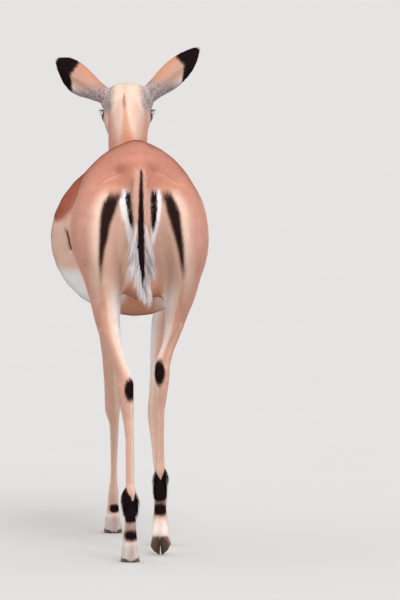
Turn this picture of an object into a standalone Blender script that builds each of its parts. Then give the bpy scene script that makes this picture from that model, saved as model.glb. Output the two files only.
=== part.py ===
"""A life-size impala ewe in a slow walk, head carried level, right hind toe just touching the ground.

Metres, +Z up. +Y is forward, +X the animal's right, and the soles of the feet lie on Z = 0.
The flesh is lofted from cross-sections, merged and smoothed as one body, then parted into named
pieces by narrow gaps. Every outline is that of the coat, out to the tips of the hair.
"""

import math

import bmesh
import bpy
import numpy as np
from mathutils import Matrix, Vector

# Driving dimensions
GAP = 0.0004  # clearance between neighbouring pieces
HEAD_PITCH = 30.0  # degrees the face points down
POLL = Vector((-0.0275, 0.985, 0.951))  # highest point between the ears
EYE_RADIUS = 0.0165
EYE_AT = Vector((0.0385, 0.090, -0.030))  # in the head's own frame, mirrored for the other side
EAR_THICKNESS = 0.0035
EAR_ROOT = {"left": Vector((-0.0722, 0.985, 0.9252)), "right": Vector((0.0169, 0.985, 0.9267))}
EAR_REACH = {"left": Vector((-0.1057, -0.055, 0.080)), "right": Vector((0.1087, -0.025, 0.1015))}
EAR_BASE = (Vector((0.039, 0.020, -0.031)), (0.0190, 0.0270, 0.0270))  # swelling, in the head's frame
EAR_ROLL = {"left": 12.0, "right": 34.0}  # degrees the back of the ear is turned upward
EAR_SAG = {"left": 0.0045, "right": -0.0025}  # droop of the nearer half of the blade
HOOF_LENGTH = 0.050
HOOF_WIDTH = 0.0192  # of one claw
HOOF_HEIGHT = 0.036  # at the toe
HEEL_HEIGHT = 0.003
CLEFT = 0.0012  # gap between the two claws
BACK_ROOF = 1.18  # how sharply the back rises to the spine; 1 is round
CENTRING = Vector((0.022, -0.592, 0.0))  # brings the middle of the base to the origin

# Surface sizes
TORSO_VOXEL = 0.008
BODY_VOXEL = 0.0042
BODY_FACES = 4000
RING_POINTS = 28

COLOURS = {
    "coat_red": (0.52, 0.24, 0.13),
    "coat_fawn": (0.66, 0.42, 0.29),
    "coat_pale": (0.74, 0.60, 0.50),
    "ear": (0.70, 0.50, 0.36),
    "horn": (0.09, 0.045, 0.025),
    "eye": (0.015, 0.010, 0.008),
}

# Trunk slices along Y: y, top z, bottom z, half-widths near the top, middle and keel, left and right share
TRUNK = [
    (0.030, 0.803, 0.690, 0.030, 0.036, 0.030, 1.00, 1.00),
    (0.060, 0.828, 0.640, 0.068, 0.080, 0.050, 1.04, 1.00),
    (0.100, 0.848, 0.600, 0.096, 0.110, 0.060, 1.08, 1.00),
    (0.150, 0.857, 0.570, 0.120, 0.120, 0.076, 1.07, 1.00),
    (0.210, 0.858, 0.545, 0.126, 0.126, 0.104, 1.03, 1.01),
    (0.270, 0.851, 0.520, 0.128, 0.134, 0.122, 0.96, 0.98),
    (0.340, 0.839, 0.497, 0.136, 0.149, 0.146, 1.04, 0.98),
    (0.410, 0.830, 0.483, 0.146, 0.160, 0.166, 1.11, 0.96),
    (0.480, 0.824, 0.479, 0.140, 0.152, 0.156, 1.10, 0.96),
    (0.550, 0.825, 0.480, 0.114, 0.132, 0.126, 1.05, 0.98),
    (0.610, 0.826, 0.486, 0.084, 0.114, 0.100, 1.00, 1.00),
    (0.670, 0.818, 0.497, 0.068, 0.103, 0.082, 1.00, 1.00),
    (0.730, 0.801, 0.520, 0.058, 0.092, 0.066, 1.00, 1.00),
    (0.780, 0.775, 0.556, 0.050, 0.072, 0.050, 1.00, 1.00),
    (0.812, 0.735, 0.605, 0.034, 0.044, 0.030, 1.00, 1.00),
]

# Neck slices: y and z of the crest, y and z of the throat line, half-widths near crest, middle and throat
NECK = [
    (0.640, 0.822, 0.760, 0.560, 0.050, 0.078, 0.056),
    (0.700, 0.828, 0.808, 0.610, 0.042, 0.066, 0.054),
    (0.762, 0.846, 0.850, 0.670, 0.036, 0.054, 0.048),
    (0.820, 0.873, 0.888, 0.722, 0.033, 0.0455, 0.041),
    (0.876, 0.903, 0.926, 0.766, 0.033, 0.0440, 0.038),
    (0.926, 0.930, 0.965, 0.796, 0.036, 0.0460, 0.039),
    (0.968, 0.947, 1.004, 0.816, 0.042, 0.0485, 0.041),
    (0.998, 0.948, 1.030, 0.820, 0.040, 0.0440, 0.035),
]

# Head slices along the face: distance from the poll, top, bottom, half-widths of forehead, cheek and jaw
HEAD = [
    (-0.024, -0.012, -0.088, 0.036, 0.036, 0.024),
    (-0.010, -0.001, -0.104, 0.058, 0.045, 0.034),
    (0.018, 0.002, -0.114, 0.063, 0.048, 0.037),
    (0.050, 0.004, -0.115, 0.052, 0.051, 0.035),
    (0.080, 0.003, -0.110, 0.052, 0.050, 0.031),
    (0.108, 0.000, -0.103, 0.047, 0.046, 0.029),
    (0.136, -0.006, -0.095, 0.037, 0.039, 0.026),
    (0.166, -0.013, -0.089, 0.027, 0.033, 0.024),
    (0.196, -0.019, -0.084, 0.023, 0.0300, 0.022),
    (0.224, -0.024, -0.082, 0.021, 0.0275, 0.021),
    (0.246, -0.027, -0.081, 0.020, 0.0260, 0.020),
    (0.260, -0.031, -0.078, 0.018, 0.0220, 0.018),
    (0.268, -0.040, -0.071, 0.013, 0.0155, 0.013),
]

# Ear slices: share of the length, half-width, half-angle of the rolled blade in degrees
EAR = [
    (-0.10, 0.0165, 158),
    (0.06, 0.0185, 150),
    (0.20, 0.0215, 118),
    (0.34, 0.0275, 92),
    (0.47, 0.0312, 76),
    (0.62, 0.0305, 67),
    (0.76, 0.0255, 61),
    (0.88, 0.0178, 56),
    (0.96, 0.0100, 52),
    (1.00, 0.0035, 50),
]

# Leg slices from the top down: z, x, y, half-width, half-depth, degrees the slice turns outward
HIND_LEFT = [
    (0.800, -0.050, 0.135, 0.040, 0.070, 0),
    (0.750, -0.068, 0.130, 0.062, 0.108, 0),
    (0.690, -0.080, 0.128, 0.065, 0.124, 0),
    (0.630, -0.081, 0.133, 0.059, 0.122, 0),
    (0.580, -0.075, 0.143, 0.045, 0.106, 2),
    (0.530, -0.071, 0.138, 0.033, 0.082, 5),
    (0.480, -0.065, 0.112, 0.026, 0.056, 8),
    (0.440, -0.054, 0.086, 0.0190, 0.042, 12),
    (0.405, -0.042, 0.062, 0.0145, 0.036, 16),
    (0.375, -0.032, 0.044, 0.0150, 0.036, 20),
    (0.350, -0.029, 0.038, 0.0165, 0.030, 20),
    (0.320, -0.027, 0.040, 0.0150, 0.0205, 18),
    (0.290, -0.024, 0.042, 0.0120, 0.0145, 14),
    (0.250, -0.021, 0.043, 0.0103, 0.0128, 8),
    (0.165, -0.0205, 0.046, 0.0103, 0.0128, 6),
    (0.145, -0.0203, 0.045, 0.0145, 0.0165, 6),
    (0.118, -0.0200, 0.044, 0.0185, 0.0200, 6),
    (0.096, -0.0200, 0.046, 0.0150, 0.0190, 6),
    (0.078, -0.0200, 0.052, 0.0134, 0.0165, 6),
    (0.058, -0.0205, 0.062, 0.0152, 0.0180, 6),
    (0.036, -0.0205, 0.074, 0.0175, 0.0215, 6),
    (0.018, -0.0205, 0.082, 0.0198, 0.0235, 6),
    (0.002, -0.0205, 0.086, 0.0204, 0.0250, 6),
]
HIND_RIGHT = [
    (0.800, 0.048, 0.145, 0.040, 0.070, 0),
    (0.750, 0.064, 0.140, 0.060, 0.108, 0),
    (0.690, 0.077, 0.148, 0.064, 0.134, 0),
    (0.630, 0.084, 0.168, 0.058, 0.136, 0),
    (0.580, 0.088, 0.190, 0.040, 0.118, -2),
    (0.530, 0.082, 0.204, 0.031, 0.090, -5),
    (0.490, 0.074, 0.207, 0.0225, 0.062, -8),
    (0.455, 0.0655, 0.202, 0.0165, 0.045, -12),
    (0.428, 0.056, 0.194, 0.0135, 0.037, -16),
    (0.402, 0.047, 0.182, 0.0135, 0.036, -20),
    (0.375, 0.0445, 0.176, 0.0145, 0.032, -20),
    (0.348, 0.0450, 0.180, 0.0130, 0.023, -18),
    (0.320, 0.0435, 0.190, 0.0108, 0.0160, -14),
    (0.290, 0.0415, 0.200, 0.0094, 0.0135, -8),
    (0.200, 0.0415, 0.222, 0.0093, 0.0130, -5),
    (0.178, 0.0415, 0.226, 0.0130, 0.0165, -5),
    (0.148, 0.0415, 0.229, 0.0190, 0.0205, -5),
    (0.126, 0.0415, 0.234, 0.0165, 0.0195, -5),
    (0.106, 0.0415, 0.239, 0.0142, 0.0170, -5),
    (0.086, 0.0412, 0.243, 0.0152, 0.0175, -5),
    (0.066, 0.0411, 0.243, 0.0176, 0.0200, -5),
    (0.046, 0.0411, 0.242, 0.0194, 0.0220, -5),
    (0.026, 0.0411, 0.247, 0.0198, 0.0180, -5),
]
FORE_LEFT = [
    (0.780, -0.058, 0.625, 0.026, 0.055, 0),
    (0.710, -0.072, 0.665, 0.034, 0.080, 0),
    (0.640, -0.080, 0.690, 0.039, 0.088, 0),
    (0.580, -0.081, 0.680, 0.038, 0.080, 0),
    (0.530, -0.076, 0.660, 0.034, 0.066, 0),
    (0.490, -0.071, 0.656, 0.030, 0.050, 2),
    (0.440, -0.065, 0.668, 0.0245, 0.038, 3),
    (0.380, -0.062, 0.688, 0.0195, 0.029, 4),
    (0.325, -0.0605, 0.706, 0.0170, 0.0220, 4),
    (0.290, -0.0595, 0.716, 0.0180, 0.0205, 4),
    (0.262, -0.0580, 0.721, 0.0165, 0.0190, 4),
    (0.230, -0.0550, 0.728, 0.0110, 0.0135, 4),
    (0.130, -0.0560, 0.752, 0.0086, 0.0112, 4),
    (0.092, -0.0570, 0.762, 0.0125, 0.0160, 4),
    (0.072, -0.0575, 0.769, 0.0128, 0.0160, 4),
    (0.052, -0.0578, 0.780, 0.0150, 0.0180, 4),
    (0.032, -0.0580, 0.792, 0.0175, 0.0215, 4),
    (0.016, -0.0580, 0.800, 0.0192, 0.0235, 4),
    (0.002, -0.0580, 0.804, 0.0198, 0.0250, 4),
]
FORE_RIGHT = [
    (0.780, 0.046, 0.615, 0.026, 0.055, 0),
    (0.710, 0.060, 0.650, 0.034, 0.080, 0),
    (0.640, 0.067, 0.665, 0.039, 0.088, 0),
    (0.580, 0.067, 0.650, 0.038, 0.080, 0),
    (0.530, 0.061, 0.622, 0.034, 0.066, 0),
    (0.490, 0.055, 0.603, 0.030, 0.050, -2),
    (0.440, 0.0465, 0.586, 0.0255, 0.037, -3),
    (0.380, 0.0400, 0.570, 0.0205, 0.028, -4),
    (0.325, 0.0360, 0.555, 0.0180, 0.0220, -4),
    (0.288, 0.0333, 0.546, 0.0190, 0.0205, -4),
    (0.262, 0.0315, 0.538, 0.0165, 0.0190, -4),
    (0.230, 0.0305, 0.526, 0.0105, 0.0135, -4),
    (0.130, 0.0380, 0.484, 0.0086, 0.0112, -4),
    (0.092, 0.0420, 0.469, 0.0125, 0.0160, -4),
    (0.072, 0.0435, 0.464, 0.0128, 0.0160, -4),
    (0.052, 0.0445, 0.470, 0.0150, 0.0180, -4),
    (0.032, 0.0450, 0.480, 0.0175, 0.0215, -4),
    (0.016, 0.0450, 0.487, 0.0192, 0.0235, -4),
    (0.002, 0.0450, 0.491, 0.0198, 0.0250, -4),
]

# Tail slices from the root down: z, x, y, half-width, half-depth, turn
TAIL = [
    (0.806, 0.000, 0.050, 0.011, 0.012, 0),
    (0.790, 0.000, 0.030, 0.014, 0.013, 0),
    (0.765, 0.000, 0.012, 0.017, 0.011, 0),
    (0.720, 0.001, 0.003, 0.0190, 0.0095, 0),
    (0.670, 0.002, 0.000, 0.0185, 0.0090, 0),
    (0.635, 0.003, -0.001, 0.0240, 0.0090, 0),
    (0.600, 0.005, 0.000, 0.0300, 0.0085, 0),
    (0.570, 0.006, 0.002, 0.0260, 0.0075, 0),
    (0.548, 0.007, 0.004, 0.0150, 0.0060, 0),
    (0.532, 0.007, 0.006, 0.0040, 0.0035, 0),
]

# Feet: middle of the sole, degrees turned outward, degrees the toe points down
FEET = {
    "hind_left": (Vector((-0.0205, 0.090, 0.0)), 4.0, 0.0),
    "hind_right": (Vector((0.0411, 0.2343, 0.0176)), -4.0, 50.0),
    "fore_left": (Vector((-0.0580, 0.808, 0.0)), 4.0, 0.0),
    "fore_right": (Vector((0.0450, 0.495, 0.0)), -4.0, 0.0),
}

# The room each leg is parted from the trunk by: z, inner x, outer x, back y, front y, from the floor up
LEG_ROOMS = {
    "hind_left": [
        (-0.010, 0.008, -0.300, -0.050, 0.290),
        (0.440, 0.008, -0.300, -0.050, 0.290),
        (0.530, -0.038, -0.300, -0.050, 0.290),
        (0.600, -0.052, -0.300, -0.050, 0.285),
        (0.720, -0.110, -0.300, -0.050, 0.265),
        (0.800, -0.185, -0.300, -0.050, 0.245),
    ],
    "hind_right": [
        (-0.010, 0.014, 0.300, 0.100, 0.330),
        (0.420, 0.014, 0.300, 0.090, 0.330),
        (0.530, 0.048, 0.300, 0.040, 0.320),
        (0.600, 0.056, 0.300, -0.050, 0.310),
        (0.720, 0.110, 0.300, -0.050, 0.285),
        (0.800, 0.185, 0.300, -0.050, 0.265),
    ],
    "fore_left": [
        (-0.010, -0.030, -0.250, 0.660, 0.900),
        (0.300, -0.032, -0.250, 0.640, 0.800),
        (0.450, -0.034, -0.250, 0.598, 0.760),
        (0.500, -0.046, -0.250, 0.598, 0.765),
        (0.560, -0.088, -0.250, 0.605, 0.770),
        (0.610, -0.160, -0.250, 0.610, 0.770),
    ],
    "fore_right": [
        (-0.010, 0.010, 0.250, 0.400, 0.600),
        (0.300, 0.008, 0.250, 0.470, 0.640),
        (0.450, 0.016, 0.250, 0.540, 0.700),
        (0.500, 0.032, 0.250, 0.548, 0.712),
        (0.560, 0.076, 0.250, 0.570, 0.720),
        (0.610, 0.150, 0.250, 0.580, 0.720),
    ],
}
# Heights at which each leg is parted again, and the names of the lengths from the top down
LEG_JOINTS = {
    "hind_left": ((0.475, 0.325, 0.160), ("thigh", "gaskin", "cannon", "pastern")),
    "hind_right": ((0.480, 0.340, 0.195), ("thigh", "gaskin", "cannon", "pastern")),
    "fore_left": ((0.305, 0.110), ("forearm", "cannon", "pastern")),
    "fore_right": ((0.305, 0.110), ("forearm", "cannon", "pastern")),
}


def new_collection(name):
    """A collection in the scene."""
    made = bpy.data.collections.new(name)
    bpy.context.scene.collection.children.link(made)
    return made


def material(name):
    """The Principled material of that name."""
    found = bpy.data.materials.get(name)
    if found:
        return found
    made = bpy.data.materials.new(name)
    made.use_nodes = True
    shader = made.node_tree.nodes["Principled BSDF"]
    shader.inputs["Base Color"].default_value = (*COLOURS[name], 1.0)
    shader.inputs["Roughness"].default_value = 0.15 if name == "eye" else 0.6
    shader.inputs["Metallic"].default_value = 0.0
    return made


def smooth_rows(rows, steps):
    """The rows with steps - 1 more between each two, on a Catmull-Rom curve."""
    rows = np.array(rows, float)
    padded = np.vstack([2 * rows[0] - rows[1], rows, 2 * rows[-1] - rows[-2]])
    made = []
    for i in range(1, len(rows)):
        before, start, end, after = padded[i - 1 : i + 3]
        for t in np.arange(steps) / steps:
            made.append(
                0.5
                * (
                    2 * start
                    + (end - before) * t
                    + (2 * before - 5 * start + 4 * end - after) * t * t
                    + (3 * start - before - 3 * end + after) * t**3
                )
            )
    made.append(rows[-1])
    return np.array(made)


def body_oval(upper, middle, lower, left=1.0, right=1.0, squareness=1.0, roof=1.0):
    """(across, share of the height) round a slice whose half-width changes from top to bottom.

    A roof above 1 draws the upper half together toward the ridge of the back.
    """
    points = []
    for turn in np.linspace(0, 2 * math.pi, RING_POINTS, endpoint=False):
        down = (1 - math.cos(turn)) / 2
        half_width = (
            upper * (1 - down) * (1 - 2 * down)
            + middle * 4 * down * (1 - down)
            + lower * down * (2 * down - 1)
        )
        side = right if turn < math.pi else left
        power = (roof if down < 0.5 else 1.0) / squareness
        bulge = math.copysign(abs(math.sin(turn)) ** power, math.sin(turn))
        points.append((bulge * half_width * side, down))
    return points


def spine_x(y):
    """Sideways place of the spine: the walking body bends a little to the animal's left."""
    return -0.026 * min(max((y - 0.12) / 0.75, 0.0), 1.0)


def pelvis_lean(y):
    """How far each metre to the left lifts the back, over the hips and loin."""
    return 0.065 * max(0.0, 1.0 - abs(y - 0.22) / 0.28)


def loft(name, rings, collection):
    """A closed mesh through rings of equal length, with flat ends."""
    mesh = bmesh.new()
    rows = [[mesh.verts.new(p) for p in ring] for ring in rings]
    count = len(rows[0])
    for upper, lower in zip(rows, rows[1:]):
        for k in range(count):
            n = (k + 1) % count
            mesh.faces.new((upper[k], upper[n], lower[n], lower[k]))
    mesh.faces.new(rows[0][::-1])
    mesh.faces.new(rows[-1])
    bmesh.ops.recalc_face_normals(mesh, faces=mesh.faces)
    return finish_mesh(name, mesh, collection)


def finish_mesh(name, mesh, collection):
    """An object made of the bmesh, in the collection."""
    data = bpy.data.meshes.new(name)
    mesh.to_mesh(data)
    mesh.free()
    made = bpy.data.objects.new(name, data)
    collection.objects.link(made)
    return made


def make_trunk(collection):
    """The barrel from the tail root to the breast."""
    rings = []
    for y, top, bottom, upper, middle, lower, left, right in smooth_rows(TRUNK, 4):
        ring = []
        for across, down in body_oval(upper, middle, lower, left, right, roof=BACK_ROOF):
            z = top + (bottom - top) * down - pelvis_lean(y) * across
            ring.append((spine_x(y) + across, y, z))
        rings.append(ring)
    return loft("trunk_form", rings, collection)


def make_neck(collection):
    """The neck, each slice standing between the crest and the throat line."""
    rings = []
    for crest_y, crest_z, throat_y, throat_z, upper, middle, lower in smooth_rows(NECK, 4):
        ring = []
        for across, down in body_oval(upper, middle, lower):
            y = crest_y + (throat_y - crest_y) * down
            z = crest_z + (throat_z - crest_z) * down
            ring.append((spine_x(y) + across, y, z))
        rings.append(ring)
    return loft("neck_form", rings, collection)


def head_frame():
    """The head's own frame: x across, y along the face, z out of the forehead, origin at the poll."""
    return Matrix.Translation(POLL) @ Matrix.Rotation(math.radians(-HEAD_PITCH), 4, "X")


def make_head(collection):
    """The skull and jaws, with the arches over the eyes and the swellings under the ears."""
    frame = head_frame()
    rings = []
    for along, top, bottom, forehead, cheek, jaw in smooth_rows(HEAD, 4):
        oval = body_oval(forehead, cheek, jaw, squareness=1.35)
        rings.append([frame @ Vector((x, along, top + (bottom - top) * down)) for x, down in oval])
    head = loft("head_form", rings, collection)
    forms = [head]
    swellings = [(Vector((0.0375, 0.090, -0.029)), (0.0175, 0.0270, 0.0210)), EAR_BASE]
    for side in (-1, 1):
        for centre, radii in swellings:
            at = frame @ Vector((centre.x * side, centre.y, centre.z))
            forms.append(ellipsoid("swelling", at, radii, frame.to_3x3(), collection))
    return forms


def make_leg(name, rows, collection, points=20, steps=3):
    """A leg from level slices, each an oval turned with the limb."""
    rings = []
    for z, x, y, half_width, half_depth, turn in smooth_rows(rows, steps):
        spin = Matrix.Rotation(math.radians(turn), 3, "Z")
        ring = []
        for angle in np.linspace(0, 2 * math.pi, points, endpoint=False):
            flat = Vector((half_width * math.cos(angle), half_depth * math.sin(angle), 0))
            ring.append(Vector((x, y, z)) + spin @ flat)
        rings.append(ring)
    return loft(name, rings, collection)


def ellipsoid(name, centre, radii, rotation, collection):
    """A closed egg shape with its own axes."""
    mesh = bmesh.new()
    bmesh.ops.create_uvsphere(mesh, u_segments=14, v_segments=8, radius=1.0)
    for vert in mesh.verts:
        vert.co = Vector(centre) + rotation @ Vector([c * r for c, r in zip(vert.co, radii)])
    return finish_mesh(name, mesh, collection)


def joined(name, objects, collection):
    """One object holding the meshes of several, which are removed."""
    mesh = bmesh.new()
    for obj in objects:
        obj.data.transform(obj.matrix_world)
        mesh.from_mesh(obj.data)
        bpy.data.objects.remove(obj)
    return finish_mesh(name, mesh, collection)


def applied(obj):
    """The object with its modifiers turned into mesh."""
    graph = bpy.context.evaluated_depsgraph_get()
    data = bpy.data.meshes.new_from_object(obj.evaluated_get(graph))
    obj.modifiers.clear()
    obj.data = data
    return obj


def merged(obj, voxel, smoothing, faces=None):
    """Overlapping forms fused to one skin of small squares, smoothed, then thinned out."""
    fuse = obj.modifiers.new("fuse", "REMESH")
    fuse.mode = "VOXEL"
    fuse.voxel_size = voxel
    relax = obj.modifiers.new("relax", "SMOOTH")
    relax.factor = 0.5
    relax.iterations = smoothing
    if faces:
        applied(obj)
        thin = obj.modifiers.new("thin", "DECIMATE")
        thin.ratio = faces / (2.0 * len(obj.data.polygons))
        thin.use_collapse_triangulate = True
    return applied(obj)


def block(name, matrix, size, collection):
    """A box whose top face is centred on the matrix's origin."""
    mesh = bmesh.new()
    bmesh.ops.create_cube(mesh, size=1.0)
    for vert in mesh.verts:
        vert.co = matrix @ (vert.co * size - Vector((0, 0, size.z / 2)))
    return finish_mesh(name, mesh, collection)


def room_block(name, rows, collection, grow=0.0):
    """A closed tower of level rectangles, grown sideways on every side."""
    rings = []
    for z, inner, outer, back, front in rows:
        left, right = sorted((inner, outer))
        left, right, near, far = left - 1.6 * grow, right + 1.6 * grow, back - grow, front + grow
        rings.append([(left, near, z), (right, near, z), (right, far, z), (left, far, z)])
    return loft(name, rings, collection)


def boolean(obj, tool, operation):
    """The object cut by, or kept inside, the tool, which is removed."""
    cut = obj.modifiers.new(operation.lower(), "BOOLEAN")
    cut.operation = operation
    cut.object = tool
    cut.solver = "EXACT"
    applied(obj)
    bpy.data.objects.remove(tool)
    return obj


def copy_of(obj, name, collection):
    """The same mesh again, as an object of its own."""
    made = bpy.data.objects.new(name, obj.data.copy())
    collection.objects.link(made)
    return made


def largest_body(obj):
    """Keeps the biggest connected piece of a mesh, without the crumbs that a cut leaves."""
    mesh = bmesh.new()
    mesh.from_mesh(obj.data)
    bmesh.ops.dissolve_degenerate(mesh, dist=0.00002, edges=mesh.edges)
    unseen = set(mesh.verts)
    bodies = []
    while unseen:
        reached = [unseen.pop()]
        body = set(reached)
        while reached:
            for edge in reached.pop().link_edges:
                for vert in edge.verts:
                    if vert in unseen:
                        unseen.discard(vert)
                        body.add(vert)
                        reached.append(vert)
        bodies.append(body)
    bodies.sort(key=len)
    for body in bodies[:-1]:
        bmesh.ops.delete(mesh, geom=list(body), context="VERTS")
    bmesh.ops.triangulate(mesh, faces=mesh.faces)
    mesh.to_mesh(obj.data)
    mesh.free()
    return obj


def part_at_plane(obj, point, normal, names, collection):
    """Two closed pieces either side of a plane, with a gap between them: (behind, ahead)."""
    pieces = []
    for name, way in zip(names, (-1, 1)):
        outward = Vector(normal).normalized() * way
        turn = outward.to_track_quat("Z", "Y").to_matrix().to_4x4()
        matrix = Matrix.Translation(Vector(point) + outward * GAP / 2) @ turn
        piece = copy_of(obj, name, collection)
        half = block("half", matrix, Vector((2, 2, 2)), collection)
        pieces.append(boolean(piece, half, "DIFFERENCE"))
    bpy.data.objects.remove(obj)
    return pieces


def swollen(obj, amount, collection):
    """A copy of a closed piece, grown along its normals, to cut its seat in a neighbour."""
    made = copy_of(obj, obj.name + "_seat", collection)
    grow = made.modifiers.new("grow", "DISPLACE")
    grow.strength = amount
    grow.mid_level = 0.0
    return applied(made)


def ear_plug(ear, hand, collection):
    """The room that the rolled root of an ear takes up in the head, a little larger all round."""
    mesh = bmesh.new()
    mesh.from_mesh(ear.data)
    reach = EAR_REACH[hand]
    far = [v for v in mesh.verts if (v.co - EAR_ROOT[hand]).dot(reach) > 0.26 * reach.length_squared]
    bmesh.ops.delete(mesh, geom=far, context="VERTS")
    hull = bmesh.ops.convex_hull(mesh, input=mesh.verts[:])
    inside = {g for g in hull["geom_interior"] + hull["geom_unused"] if isinstance(g, bmesh.types.BMVert)}
    bmesh.ops.delete(mesh, geom=list(inside), context="VERTS")
    faces = [f for f in mesh.faces if f not in set(hull["geom"])]
    bmesh.ops.delete(mesh, geom=faces, context="FACES")
    middle = sum((v.co for v in mesh.verts), Vector()) / len(mesh.verts)
    for vert in mesh.verts:
        vert.co += (vert.co - middle).normalized() * GAP * 2.2
    bmesh.ops.recalc_face_normals(mesh, faces=mesh.faces)
    return finish_mesh("ear_plug", mesh, collection)


def make_ear(side, collection):
    """A rolled leaf: a tube at its root that opens to a cupped blade and closes to a point."""
    hand = "left" if side < 0 else "right"
    along = EAR_REACH[hand].normalized()
    rear = Vector((0, -1, 0))
    rear = (rear - along * rear.dot(along)).normalized()
    upper = rear.cross(along) * (1 if rear.cross(along).z > 0 else -1)
    roll = math.radians(EAR_ROLL[hand])
    back = rear * math.cos(roll) + upper * math.sin(roll)
    across = along.cross(back)
    mesh = bmesh.new()
    rows = []
    for share, half_width, half_angle in smooth_rows(EAR, 2):
        wrap = math.radians(half_angle)
        radius = half_width / math.sin(min(wrap, math.pi / 2))
        centre = EAR_ROOT[hand] + EAR_REACH[hand] * share - back * radius * (1 + math.cos(wrap)) / 2
        centre -= upper * EAR_SAG[hand] * math.sin(math.pi * min(max(share / 0.8, 0), 1))
        turns = [wrap * t for t in np.linspace(-1, 1, 8)]
        row = [centre + (across * math.sin(t) + back * math.cos(t)) * radius for t in turns]
        rows.append([mesh.verts.new(p) for p in row])
    for below, above in zip(rows, rows[1:]):
        for k in range(len(below) - 1):
            mesh.faces.new((below[k], below[k + 1], above[k + 1], above[k]))
    ear = finish_mesh("ear_" + hand, mesh, collection)
    wall = ear.modifiers.new("wall", "SOLIDIFY")
    wall.thickness = EAR_THICKNESS
    wall.offset = 0.0
    return tidied(applied(ear))


def tidied(obj):
    """The mesh in triangles, all facing out."""
    mesh = bmesh.new()
    mesh.from_mesh(obj.data)
    bmesh.ops.recalc_face_normals(mesh, faces=mesh.faces)
    bmesh.ops.triangulate(mesh, faces=mesh.faces)
    mesh.to_mesh(obj.data)
    mesh.free()
    return obj


def foot_frame(leg):
    """A foot's own frame: x to the right, y toward the toe, z up from the sole."""
    place, outward, pitch = FEET[leg]
    turn = Matrix.Rotation(math.radians(outward), 4, "Z")
    return Matrix.Translation(place) @ turn @ Matrix.Rotation(math.radians(-pitch), 4, "X")


def coronet_frame(leg):
    """The sloping plane where the hoof meets the hair, from the heel up to the toe."""
    heel = Vector((0, -HOOF_LENGTH / 2, HEEL_HEIGHT))
    slope = math.atan2(HOOF_HEIGHT - HEEL_HEIGHT, 0.036)
    return foot_frame(leg) @ Matrix.Translation(heel) @ Matrix.Rotation(slope, 4, "X")


def make_claw(leg, side, collection):
    """One half of the cloven hoof: straight inside, curved outside, its top on the coronet plane."""
    frame = foot_frame(leg)
    slope = (HOOF_HEIGHT - HEEL_HEIGHT) / 0.036
    rings = []
    for rise in (0.0, 0.5, 1.0):
        ring = []
        for angle in np.linspace(0, 2 * math.pi, 12, endpoint=False):
            fore = math.cos(angle)
            narrowing = 1 - 0.86 * max(fore, 0) ** 2
            width = HOOF_WIDTH * (1 - 0.10 * rise) * narrowing
            across = CLEFT / 2 + width * ((1 + math.sin(angle)) / 2) ** 1.4
            along = HOOF_LENGTH / 2 * fore * (1 - 0.26 * rise) - HOOF_LENGTH * 0.13 * rise
            top = HEEL_HEIGHT + (along + HOOF_LENGTH / 2) * slope - GAP
            ring.append(frame @ Vector((across * side, along, top * rise)))
        rings.append(ring)
    name = leg + ("_claw_outer" if (side < 0) == leg.endswith("left") else "_claw_inner")
    return tidied(loft(name, rings, collection))


def place(obj, name, colour, collection):
    """Names a finished piece, gives it its material and moves it to the centred frame."""
    obj.name = name
    obj.data.name = name
    obj.data.transform(Matrix.Translation(CENTRING))
    obj.data.materials.clear()
    obj.data.materials.append(material(colour))
    obj.data.shade_smooth()
    obj.data.set_sharp_from_angle(angle=math.radians(50))
    for user in list(obj.users_collection):
        user.objects.unlink(obj)
    collection.objects.link(obj)


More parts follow.
